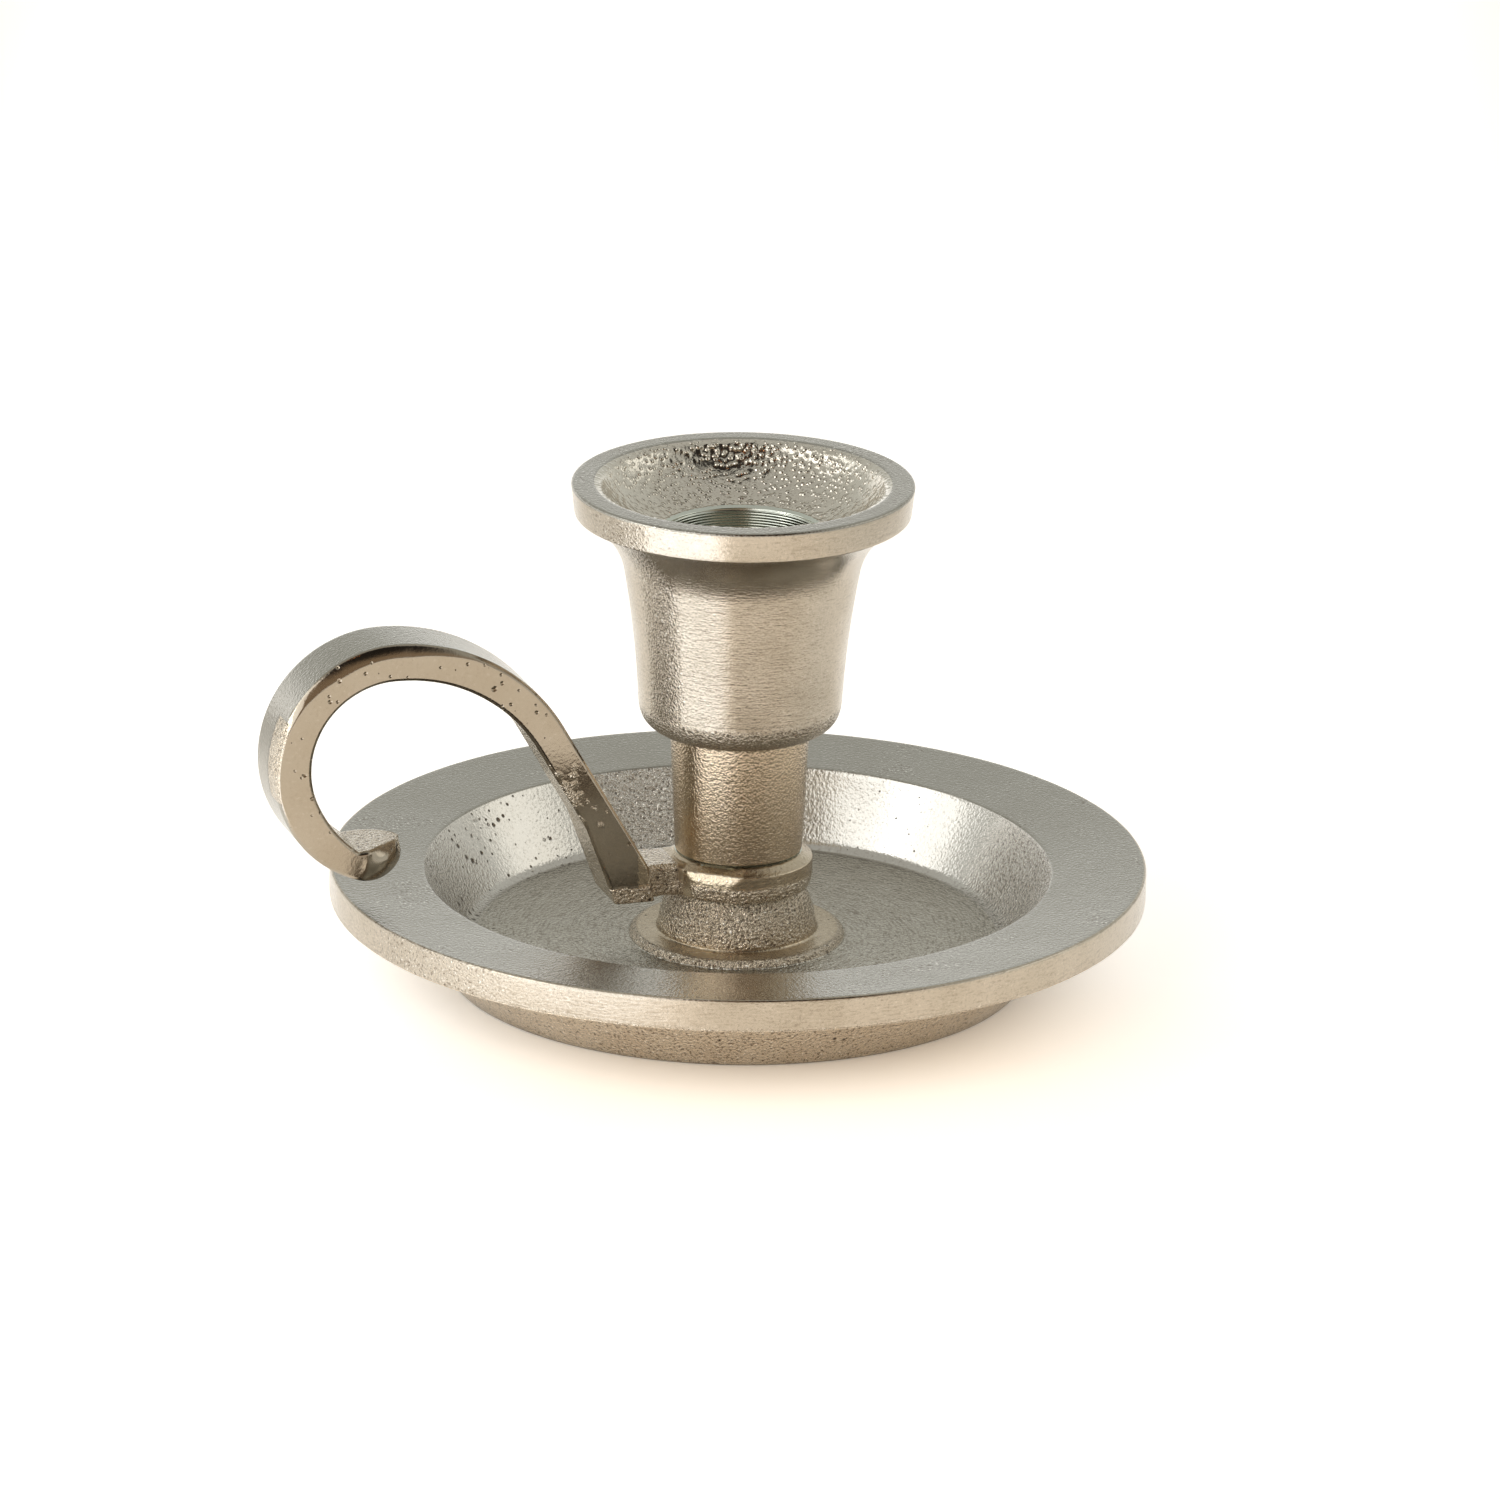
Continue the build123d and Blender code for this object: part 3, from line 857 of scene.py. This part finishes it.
# The painted shade in a hollow of the grain, the painted glint on a grain's tip and the painted shade in a
# furrow between strokes
grain_shade_code = "#6A5B4C"
grain_glint_code = "#F4F0E8"
furrow_shade_code = "#7A6A58"
# The levels of a pattern between which it grows to full painted shade in a hollow, a full painted glint on a
# tip, full painted shade in a furrow, a worn patch or a crowd of pits, and those between which the plating
# turns from its brightest to its mattest
grain_shade_levels = (0.43, 0.33)
grain_glint_levels = (0.62, 0.7)
furrow_shade_levels = (0.46, 0.32)
patch_levels = (0.54, 0.68)
crowd_levels = (0.4, 0.62)
matt_levels = (0.35, 0.65)
matt_shares = (0.85, 1.15)
grain_glint_share = 0.8
patch_share = 0.9
# How strong the skin's grain is where its painted shade and glints grow from their least share to all of it
shade_and_glint_grain = (0.15, 0.8)
least_shade_and_glint_share = 0.25
# How much of the widest pit the small and the large ones take, and how much of a pit is its flat floor
crowd_shares = (0.5, 1.4)
pit_floor_share = 0.35
pit_stir_share = 0.5
pit_power = 1.6
# How much of a bead stands up in the plating, how full it is, and how far apart the bore's turned rings lie
bead_foot_share = 0.84
bead_power = 0.6
turned_ring_spacing = 0.42
turned_ring_depth = 0.04


def metal(name, code, roughness):
    """A new material with a metal's shader, and its tree, shader and object coordinates."""
    material = bpy.data.materials.new(name)
    material.use_nodes = True
    tree = material.node_tree
    shader = tree.nodes["Principled BSDF"]
    shader.inputs["Base Color"].default_value = colour(code)
    shader.inputs["Metallic"].default_value = 1.0
    shader.inputs["Roughness"].default_value = roughness
    where = node(tree, "ShaderNodeTexCoord").outputs["Object"]
    return material, tree, shader, where


def clouded(tree, where, light, dark, size):
    """Clouds of a size in millimetres, and the tone that they mix from two."""
    clouds = node(tree, "ShaderNodeTexNoise", {"Vector": where, "Scale": 1 / (size * MM),
                  "Detail": 4.0}).outputs[0]
    tone = node(tree, "ShaderNodeMix", {0: clouds, 6: colour(light), 7: colour(dark)},
                data_type="RGBA").outputs[2]
    return clouds, tone


def beads(tree, where, height):
    """The beads of the dish: their pattern and how high they stand."""
    cells = node(tree, "ShaderNodeTexVoronoi", {"Vector": where, "Scale": 1 / (bead_spacing * MM)}).outputs
    rise = node(tree, "ShaderNodeMapRange", {"Value": cells["Distance"],
                "From Max": bead_foot_share * bead_share, "To Min": 1.0, "To Max": 0.0}).outputs[0]
    rise = node(tree, "ShaderNodeMath", {0: rise, 1: bead_power}, operation="POWER").outputs[0]
    beaded = node(tree, "ShaderNodeAttribute", attribute_name="pebbles").outputs["Fac"]
    depth = node(tree, "ShaderNodeMath", {0: beaded, 1: height}, operation="MULTIPLY").outputs[0]
    return rise, depth


def sand_grain(tree, where, tone, grain, grain_shade_and_glint, patch):
    """Sand grain with painted shade in its hollows and painted glints on its tips, most where it is coarse:
    tone, pattern and depth.
    """
    coarse = node(tree, "ShaderNodeAttribute", attribute_name="grain").outputs["Fac"]
    sand = node(tree, "ShaderNodeTexNoise", {"Vector": where, "Scale": 1 / (grain.width * MM),
                "Detail": 2.0, "Roughness": 0.55}).outputs[0]
    depth = node(tree, "ShaderNodeMath", {0: coarse, 1: grain.depth}, operation="MULTIPLY").outputs[0]
    shade_and_glint_share = node(tree, "ShaderNodeMapRange", {"Value": coarse, "From Min": shade_and_glint_grain[0],
                    "From Max": shade_and_glint_grain[1], "To Min": least_shade_and_glint_share * grain_shade_and_glint,
                    "To Max": grain_shade_and_glint}).outputs[0]
    if patch:
        worn = node(tree, "ShaderNodeTexNoise", {"Vector": where, "Scale": 1 / (patch * MM),
                    "Detail": 3.0}).outputs[0]
        worn = node(tree, "ShaderNodeMapRange", {"Value": worn, "From Min": patch_levels[0],
                    "From Max": patch_levels[1], "To Max": patch_share}).outputs[0]
        shade_and_glint_share = node(tree, "ShaderNodeMath", {0: shade_and_glint_share, 1: worn}, operation="MAXIMUM").outputs[0]
    # Painted shade darkens the grain's hollows and painted glints brighten its tips
    for levels, share, code in ((grain_shade_levels, 1.0, grain_shade_code), (grain_glint_levels, grain_glint_share, grain_glint_code)):
        shown = node(tree, "ShaderNodeMapRange", {"Value": sand, "From Min": levels[0],
                     "From Max": levels[1], "To Max": share}).outputs[0]
        shown = node(tree, "ShaderNodeMath", {0: shown, 1: shade_and_glint_share}, operation="MULTIPLY").outputs[0]
        tone = node(tree, "ShaderNodeMix", {0: shown, 6: tone, 7: colour(code)},
                    data_type="RGBA").outputs[2]
    return tone, sand, depth


def round_strokes(tree, where, tone, strokes, furrow_shade_amount):
    """Strokes of a belt or brush round the candle's axis, with painted brown shade in their furrows: their
    tone and pattern.
    """
    height = node(tree, "ShaderNodeSeparateXYZ", {0: where}).outputs["Z"]
    flat = node(tree, "ShaderNodeVectorMath", {0: where, 1: (1.0, 1.0, 0.0)},
                operation="MULTIPLY").outputs[0]
    reach = node(tree, "ShaderNodeVectorMath", {0: flat}, operation="LENGTH").outputs["Value"]
    across = node(tree, "ShaderNodeMath", {0: reach, 1: height}, operation="ADD").outputs[0]
    across = node(tree, "ShaderNodeMath", {0: across, 1: 1 / (strokes.width * MM)},
                  operation="MULTIPLY").outputs[0]
    across = node(tree, "ShaderNodeCombineXYZ", {"Z": across}).outputs[0]
    drawn = node(tree, "ShaderNodeVectorMath", {0: flat, 1: (1 / (strokes.length * MM),) * 3, 2: across},
                 operation="MULTIPLY_ADD").outputs[0]
    marks = node(tree, "ShaderNodeTexNoise", {"Vector": drawn, "Scale": 1.0, "Detail": 3.0,
                 "Roughness": 0.6}).outputs[0]
    # Painted brown shade in the furrows between the strokes
    furrow_shade_share = node(tree, "ShaderNodeMapRange", {"Value": marks, "From Min": furrow_shade_levels[0],
                  "From Max": furrow_shade_levels[1], "To Max": furrow_shade_amount}).outputs[0]
    tone = node(tree, "ShaderNodeMix", {0: furrow_shade_share, 6: tone, 7: colour(furrow_shade_code)},
                data_type="RGBA").outputs[2]
    return tone, marks


def sharp_pits(tree, where, tone, clouds, pits):
    """Pits of all sizes up to the largest, crowded in the darker clouds: their tone and pattern."""
    stirred = node(tree, "ShaderNodeTexNoise", {"Vector": where,
                   "Scale": 1 / (2 * pits.largest_r * MM)}).outputs[1]
    moved = node(tree, "ShaderNodeVectorMath", {0: stirred, 1: (pit_stir_share * pits.largest_r * MM,) * 3,
                 2: where}, operation="MULTIPLY_ADD").outputs[0]
    cells = node(tree, "ShaderNodeTexVoronoi", {"Vector": moved, "Scale": 1 / (pits.spacing * MM)}).outputs
    chance = node(tree, "ShaderNodeSeparateXYZ", {0: cells["Color"]}).outputs[0]
    size = node(tree, "ShaderNodeMath", {0: chance, 1: pit_power}, operation="POWER").outputs[0]
    crowd = node(tree, "ShaderNodeMapRange", {"Value": clouds, "From Min": crowd_levels[0],
                 "From Max": crowd_levels[1], "To Min": crowd_shares[0] * pits.largest_r / pits.spacing,
                 "To Max": crowd_shares[1] * pits.largest_r / pits.spacing}).outputs[0]
    pitted = node(tree, "ShaderNodeAttribute", attribute_name="pits").outputs["Fac"]
    pitted = node(tree, "ShaderNodeMath", {0: pitted, 1: 2.0}, operation="MULTIPLY",
                  use_clamp=True).outputs[0]
    for share in (crowd, pitted):
        size = node(tree, "ShaderNodeMath", {0: size, 1: share}, operation="MULTIPLY").outputs[0]
    floor_r = node(tree, "ShaderNodeMath", {0: size, 1: pit_floor_share}, operation="MULTIPLY").outputs[0]
    hole = node(tree, "ShaderNodeMapRange", {"Value": cells["Distance"], "From Min": floor_r,
                "From Max": size, "To Min": 1.0, "To Max": 0.0}).outputs[0]
    tone = node(tree, "ShaderNodeMix", {0: hole, 6: tone, 7: colour(pits.code)},
                data_type="RGBA").outputs[2]
    return tone, hole


def nickel(name, light, dark, roughness, grain, stretch=0.0, cloud=7.0, strokes=None, pits=None,
           grain_shade_and_glint=0.0, bead_height=0.0, furrow_shade_amount=0.0, patch=0.0):
    """A new material of nickel plate, with the marks that show through it or were cut in it.

    light and dark are its two tones, in clouds of a size in millimetres. stretch draws the lights out
    across the strokes, and furrow_shade_amount is how strongly painted brown shade fills their furrows.
    grain_shade_and_glint is how much painted shade darkens the sand grain's hollows and painted glints
    brighten its tips, and patch the size in millimetres of worn places where that shows on any skin.
    bead_height is how high the dish's beads stand, in millimetres.
    """
    material, tree, shader, where = metal(name, light, roughness)
    clouds, tone = clouded(tree, where, light, dark, cloud)
    matt = node(tree, "ShaderNodeMapRange", {"Value": clouds, "From Min": matt_levels[0],
                "From Max": matt_levels[1], "To Min": matt_shares[0] * roughness,
                "To Max": matt_shares[1] * roughness}).outputs[0]
    tree.links.new(matt, shader.inputs["Roughness"])
    if stretch:
        shader.inputs["Anisotropic"].default_value = stretch
        shader.inputs["Anisotropic Rotation"].default_value = 0.25
        tangent = node(tree, "ShaderNodeTangent", direction_type="RADIAL", axis="Z").outputs[0]
        tree.links.new(tangent, shader.inputs["Tangent"])

    heights = []
    if bead_height:
        heights.append(beads(tree, where, bead_height))
    tone, sand, depth = sand_grain(tree, where, tone, grain, grain_shade_and_glint, patch)
    heights.append((sand, depth))
    if strokes:
        tone, marks = round_strokes(tree, where, tone, strokes, furrow_shade_amount)
        heights.append((marks, strokes.depth))
    if pits:
        tone, hole = sharp_pits(tree, where, tone, clouds, pits)
        heights.append((hole, -pits.depth))
    tree.links.new(tone, shader.inputs["Base Color"])
    total = 0.0
    for pattern, depth in heights:
        raised = node(tree, "ShaderNodeMath", {0: pattern, 1: depth}, operation="MULTIPLY").outputs[0]
        total = node(tree, "ShaderNodeMath", {0: total, 1: raised}, operation="ADD").outputs[0]
    bump = node(tree, "ShaderNodeBump", {"Height": total, "Strength": 1.0, "Distance": MM}).outputs[0]
    tree.links.new(bump, shader.inputs["Normal"])
    return material


def linished_nickel():
    """Nickel over cup and edges, run against an abrasive belt: fine strokes draw the lights out upwards."""
    return nickel("linished_nickel_plate", "#C0B6A8", "#B4A997", 0.19, Grain(0.4, 0.26), stretch=0.95,
                  strokes=Strokes(1.7, 0.34, 0.045), grain_shade_and_glint=0.8, furrow_shade_amount=0.25)


def brushed_nickel():
    """Nickel over the stem, brushed by hand on coarser grit: a broken, browner shimmer of short strokes."""
    return nickel("brushed_nickel_plate", "#D5C4AE", "#C8B599", 0.17, Grain(0.4, 0.3), stretch=0.8,
                  strokes=Strokes(1.2, 0.34, 0.03), grain_shade_and_glint=0.6, furrow_shade_amount=0.15)


def lapped_nickel():
    """Nickel over faces ground flat on a lap: an even satin with pinholes and worn patches where the grain
    shows in painted shade and glints.
    """
    return nickel("lapped_nickel_plate", "#A6A299", "#9D988D", 0.19, Grain(0.42, 0.4), cloud=14.0,
                  strokes=Strokes(2.5, 0.45, 0.015), pits=Pits(2.3, 0.42, 0.12, "#6B6054"), grain_shade_and_glint=0.35,
                  patch=9.0)


def polished_nickel():
    """Nickel over faces buffed by hand: bright, not quite flat, with the casting's pits showing."""
    return nickel("buffed_nickel_plate", "#C8BAA4", "#BCAC93", 0.24, Grain(0.45, 0.3),
                  pits=Pits(1.6, 0.36, 0.08, "#85755F"), grain_shade_and_glint=0.4)


def filed_nickel():
    """Nickel over the bar's sides, filed flat and buffed: even, a little brown, with clusters of pits."""
    return nickel("filed_nickel_plate", "#ACA395", "#A09482", 0.14, Grain(0.5, 0.14),
                  pits=Pits(1.3, 0.4, 0.12, "#7D6E5A"), grain_shade_and_glint=0.3)


def scoured_nickel():
    """Nickel over the pan's floor, scoured round and round with grit: a dull sheen with round scratches."""
    return nickel("scoured_nickel_plate", "#D5D1C7", "#C6C0B3", 0.14, Grain(0.42, 0.7), cloud=5.0,
                  strokes=Strokes(2.6, 0.38, 0.14), pits=Pits(1.6, 0.34, 0.12, "#4A3E32"), grain_shade_and_glint=0.8,
                  furrow_shade_amount=0.5)


def sand_cast_nickel():
    """Nickel straight over the sand casting's skin: bright grains that sparkle, with painted glints on their
    tips and painted shade in their hollows.
    """
    return nickel("sand_cast_nickel_plate", "#D0C6B5", "#C3B49F", 0.13, Grain(0.42, 0.52), cloud=5.0,
                  pits=Pits(1.5, 0.38, 0.1, "#4A3E32"), grain_shade_and_glint=0.8)


def wall_nickel():
    """Nickel over the pan's wall, cast smooth in parts: a clear mirror with dark pinholes."""
    return nickel("pan_wall_nickel_plate", "#C9C5BE", "#C1BBB1", 0.13, Grain(0.45, 0.6), cloud=9.0,
                  pits=Pits(1.1, 0.46, 0.15, "#54483C"), grain_shade_and_glint=0.8)


def pebbled_nickel():
    """Nickel over the dish, where the sand left round beads: each bead mirrors the lights as a dot."""
    return nickel("pebbled_nickel_plate", "#D6D0C5", "#CCC4B5", 0.13, Grain(0.4, 0.12), cloud=5.0,
                  grain_shade_and_glint=0.5, bead_height=0.16)


def bored_metal():
    """Bare metal cut by a boring tool: close rings, cooler than the plating."""
    material, tree, shader, where = metal("bored_aluminium", "#CCCFC4", 0.2)
    height = node(tree, "ShaderNodeSeparateXYZ", {0: where}).outputs["Z"]
    rings = node(tree, "ShaderNodeMath", {0: height, 1: 2 * pi / (turned_ring_spacing * MM)},
                 operation="MULTIPLY").outputs[0]
    rings = node(tree, "ShaderNodeMath", {0: rings}, operation="SINE").outputs[0]
    bump = node(tree, "ShaderNodeBump", {"Height": rings, "Strength": 0.8,
                "Distance": turned_ring_depth * MM}).outputs[0]
    tree.links.new(bump, shader.inputs["Normal"])
    return material


def zinc_plate():
    """Bright zinc on the screw and its washers, a little blue."""
    material, tree, shader, where = metal("zinc_plated_steel", "#C6CAD0", 0.3)
    tone = clouded(tree, where, "#CDD1D6", "#B3B6B8", 2)[1]
    tree.links.new(tone, shader.inputs["Base Color"])
    fine = node(tree, "ShaderNodeTexNoise", {"Vector": where, "Scale": 1 / (0.3 * MM),
                "Detail": 2.0}).outputs["Fac"]
    bump = node(tree, "ShaderNodeBump", {"Height": fine, "Strength": 0.2, "Distance": 0.03 * MM}).outputs[0]
    tree.links.new(bump, shader.inputs["Normal"])
    return material


# Studio: camera, floor and lights, with distances in metres and angles round from the camera's side

studio_level = 1.2
camera_azimuth_deg = -18.7
camera_elevation_deg = 18.828
camera_distance = 1.6
camera_roll_deg = 0.85
camera_lens = 262.5
target = Vector((1.46, -0.49, 33.39)) * MM

# A light by its place, its size and the radiance that its reflection shows
Softbox = namedtuple("Softbox", "side_deg up_deg away width height radiance code")
softboxes = {
    "key_softbox": Softbox(-47, 28, 0.75, 0.85, 0.5, 1.2, "#FAFCFF"),
    "side_softbox": Softbox(-90, 33, 0.8, 0.42, 0.25, 1.15, "#FAFCFF"),
    "right_card": Softbox(97, 27, 1.5, 1.0, 0.55, 0.62, "#FFFDF8"),
    "low_card": Softbox(-62, 17, 1.5, 0.3, 0.25, 5.0, "#FFFAF0"),
    "warm_lamp": Softbox(-2, 57, 1.5, 0.025, 0.025, 30.0, "#FFA868"),
}

# A cone of ways out from the object: its middle, and how far from that it is full and has faded
Cone = namedtuple("Cone", "side_deg up_deg full_deg fade_deg")
bright_left = Cone(-130, 0, 20, 80)
warm_room = Cone(12, 22, 24, 48)
dark_ceiling = Cone(20, 53, 22, 31)
painted_pool_side = Cone(-43, 0, 22, 37)
warm_side = Cone(12, 0, 30, 75)
bright_left_gain = 0.5
low_levels = (0.3, 0.05)
high_levels = (0.4, 0.95)

# The floor's painted glow: how it grows or falls from one distance to another in millimetres, out from the
# object's axis or aside from the camera's line. Close to the axis it fades out as a painted shadow round the
# object.
# The pool is a painted pool of light, a cool, brighter stretch at the front left.
Ramp = namedtuple("Ramp", "along start end at_start at_end")
floor_half_width = 4.0
floor_ramps = {
    "glow": [Ramp("out", 32, 61, 0.0, 0.52), Ramp("aside", 110, 200, 1.0, 0.3)],
    "pool": [Ramp("out", 85, 125, 0.0, 1.0), Ramp("out", 200, 245, 1.0, 0.4)],
    "warm": [Ramp("out", 230, 330, 1.0, 0.0)],
}
floor_sides = {"pool": painted_pool_side, "warm": warm_side}
painted_pool_gain = 1.8


def way_to(side_deg, up_deg):
    """The way from the object to a place, by its angle rightwards from the camera and its angle up."""
    around, up = radians(camera_azimuth_deg + side_deg), radians(up_deg)
    return Vector((sin(around) * cos(up), -cos(around) * cos(up), sin(up)))


def within(tree, ways, cone):
    """How far each way lies in a cone: full near its middle and none past its end."""
    near = node(tree, "ShaderNodeVectorMath", {0: ways, 1: way_to(cone.side_deg, cone.up_deg)},
                operation="DOT_PRODUCT").outputs["Value"]
    return node(tree, "ShaderNodeMapRange", {"Value": near, "From Min": cos(radians(cone.fade_deg)),
                "From Max": cos(radians(cone.full_deg))}).outputs[0]


def add_camera():
    """The camera at the photograph's place."""
    back = way_to(0, camera_elevation_deg)
    data = bpy.data.cameras.new("camera")
    data.sensor_width = 36
    data.lens = camera_lens
    camera = added("camera", data)
    camera.rotation_mode = "QUATERNION"
    roll = Quaternion((0, 0, 1), radians(camera_roll_deg))
    camera.rotation_quaternion = back.to_track_quat("Z", "Y") @ roll
    camera.location = target + back * camera_distance
    bpy.context.scene.camera = camera


def add_softbox(name, box):
    """A rectangular light that faces the object."""
    data = bpy.data.lights.new(name, "AREA")
    data.shape = "RECTANGLE"
    data.size = box.width
    data.size_y = box.height
    data.energy = studio_level * box.radiance * pi * box.width * box.height
    data.color = colour(box.code)[:3]
    light = added(name, data)
    back = way_to(box.side_deg, box.up_deg)
    light.rotation_mode = "QUATERNION"
    light.rotation_quaternion = back.to_track_quat("Z", "Y")
    light.location = back * box.away


def add_floor():
    """A wide pale floor with a painted glow round the object, faded near it as a painted shadow, warm in
    front and with a cool painted pool of light on the left.
    """
    half = floor_half_width
    mesh = bpy.data.meshes.new("floor")
    corners = [(-half, -half, 0), (half, -half, 0), (half, half, 0), (-half, half, 0)]
    mesh.from_pydata(corners, [], [(0, 1, 2, 3)])
    material = bpy.data.materials.new("pale_studio_floor")
    material.use_nodes = True
    tree = material.node_tree
    shader = tree.nodes["Principled BSDF"]
    shader.inputs["Base Color"].default_value = colour("#F8F6F3")
    shader.inputs["Roughness"].default_value = 0.9
    where = node(tree, "ShaderNodeTexCoord").outputs["Object"]
    out = node(tree, "ShaderNodeVectorMath", {0: where}, operation="LENGTH").outputs["Value"]
    aside = node(tree, "ShaderNodeVectorMath", {0: where, 1: way_to(90, 0)},
                 operation="DOT_PRODUCT").outputs["Value"]
    aside = node(tree, "ShaderNodeMath", {0: aside}, operation="ABSOLUTE").outputs[0]
    ways = node(tree, "ShaderNodeVectorMath", {0: where}, operation="NORMALIZE").outputs[0]
    level = {}
    for name, ramps in floor_ramps.items():
        level[name] = within(tree, ways, floor_sides[name]) if name in floor_sides else 1.0
        for ramp in ramps:
            distance = out if ramp.along == "out" else aside
            share = node(tree, "ShaderNodeMapRange", {"Value": distance, "From Min": ramp.start * MM,
                         "From Max": ramp.end * MM, "To Min": ramp.at_start, "To Max": ramp.at_end},
                         interpolation_type="SMOOTHSTEP").outputs[0]
            level[name] = node(tree, "ShaderNodeMath", {0: level[name], 1: share},
                               operation="MULTIPLY").outputs[0]
    # The painted glow: the painted pool of light on the left added to the glow, which fades out close to the
    # axis as a painted shadow
    glow = node(tree, "ShaderNodeMath", {0: level["pool"], 1: painted_pool_gain, 2: level["glow"]},
                operation="MULTIPLY_ADD").outputs[0]
    glow = node(tree, "ShaderNodeMath", {0: glow, 1: studio_level}, operation="MULTIPLY").outputs[0]
    tree.links.new(glow, shader.inputs["Emission Strength"])
    # The painted glow's tint: warm in front and cool in the painted pool of light
    tint = colour("#FFFAF4")
    for share, code in ((level["warm"], "#FFEEDA"), (level["pool"], "#E8F1FF")):
        tint = node(tree, "ShaderNodeMix", {0: share, 6: tint, 7: colour(code)},
                    data_type="RGBA").outputs[2]
    tree.links.new(tint, shader.inputs["Emission Color"])
    mesh.materials.append(material)
    added("floor", mesh)


def add_surroundings():
    """A pale studio, brightest low behind on the left, with a warm dim room and a dark ceiling in front."""
    world = bpy.data.worlds.new("studio")
    bpy.context.scene.world = world
    world.use_nodes = True
    tree = world.node_tree
    shader = tree.nodes["Background"]
    where = node(tree, "ShaderNodeTexCoord").outputs["Generated"]
    height = node(tree, "ShaderNodeSeparateXYZ", {0: where}).outputs["Z"]
    low, high = [node(tree, "ShaderNodeMapRange", {"Value": height, "From Min": levels[0],
                 "From Max": levels[1]}).outputs[0] for levels in (low_levels, high_levels)]
    left = node(tree, "ShaderNodeMath", {0: low, 1: within(tree, where, bright_left)},
                operation="MULTIPLY").outputs[0]
    shown = colour("#C6C8C3")
    for share, code in ((low, "#E6E7E2"), (left, "#FFFFFF"), (high, "#B6B6B1"),
                        (within(tree, where, warm_room), "#9A8670"),
                        (within(tree, where, dark_ceiling), "#2A2623")):
        shown = node(tree, "ShaderNodeMix", {0: share, 6: shown, 7: colour(code)},
                     data_type="RGBA").outputs[2]
    tree.links.new(shown, shader.inputs["Color"])
    level = node(tree, "ShaderNodeMath", {0: left, 1: bright_left_gain, 2: 1.0},
                 operation="MULTIPLY_ADD").outputs[0]
    level = node(tree, "ShaderNodeMath", {0: level, 1: studio_level}, operation="MULTIPLY").outputs[0]
    tree.links.new(level, shader.inputs["Strength"])


add_camera()
add_floor()
add_surroundings()
for name, box in softboxes.items():
    add_softbox(name, box)
bpy.context.scene.view_settings.view_transform = "Standard"

linished = linished_nickel()
castings = {
    "linished": linished,
    "scuffed": linished,
    "brushed": brushed_nickel(),
    "lapped": lapped_nickel(),
    "polished": polished_nickel(),
    "filed": filed_nickel(),
    "scoured": scoured_nickel(),
    "sand_cast": sand_cast_nickel(),
    "wall_cast": wall_nickel(),
    "pebbled": pebbled_nickel(),
    "bored": bored_metal(),
}
skin = skin_tree(castings)
meshes = {
    "drip_pan": drip_pan_mesh(),
    "finger_loop_handle": handle_mesh(),
    "candle_socket": candle_socket_mesh(),
}
for seed, (name, mesh) in enumerate(meshes.items()):
    piece = skinned(name + "_casting", mesh, skin, 10.0 + seed)
    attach(piece, "root")
    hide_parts(name)

zinc = zinc_plate()
for name in ("fixing_screw", "spring_washer", "flat_washer"):
    part = bpy.data.objects[name]
    for slot in part.material_slots:
        slot.material = zinc
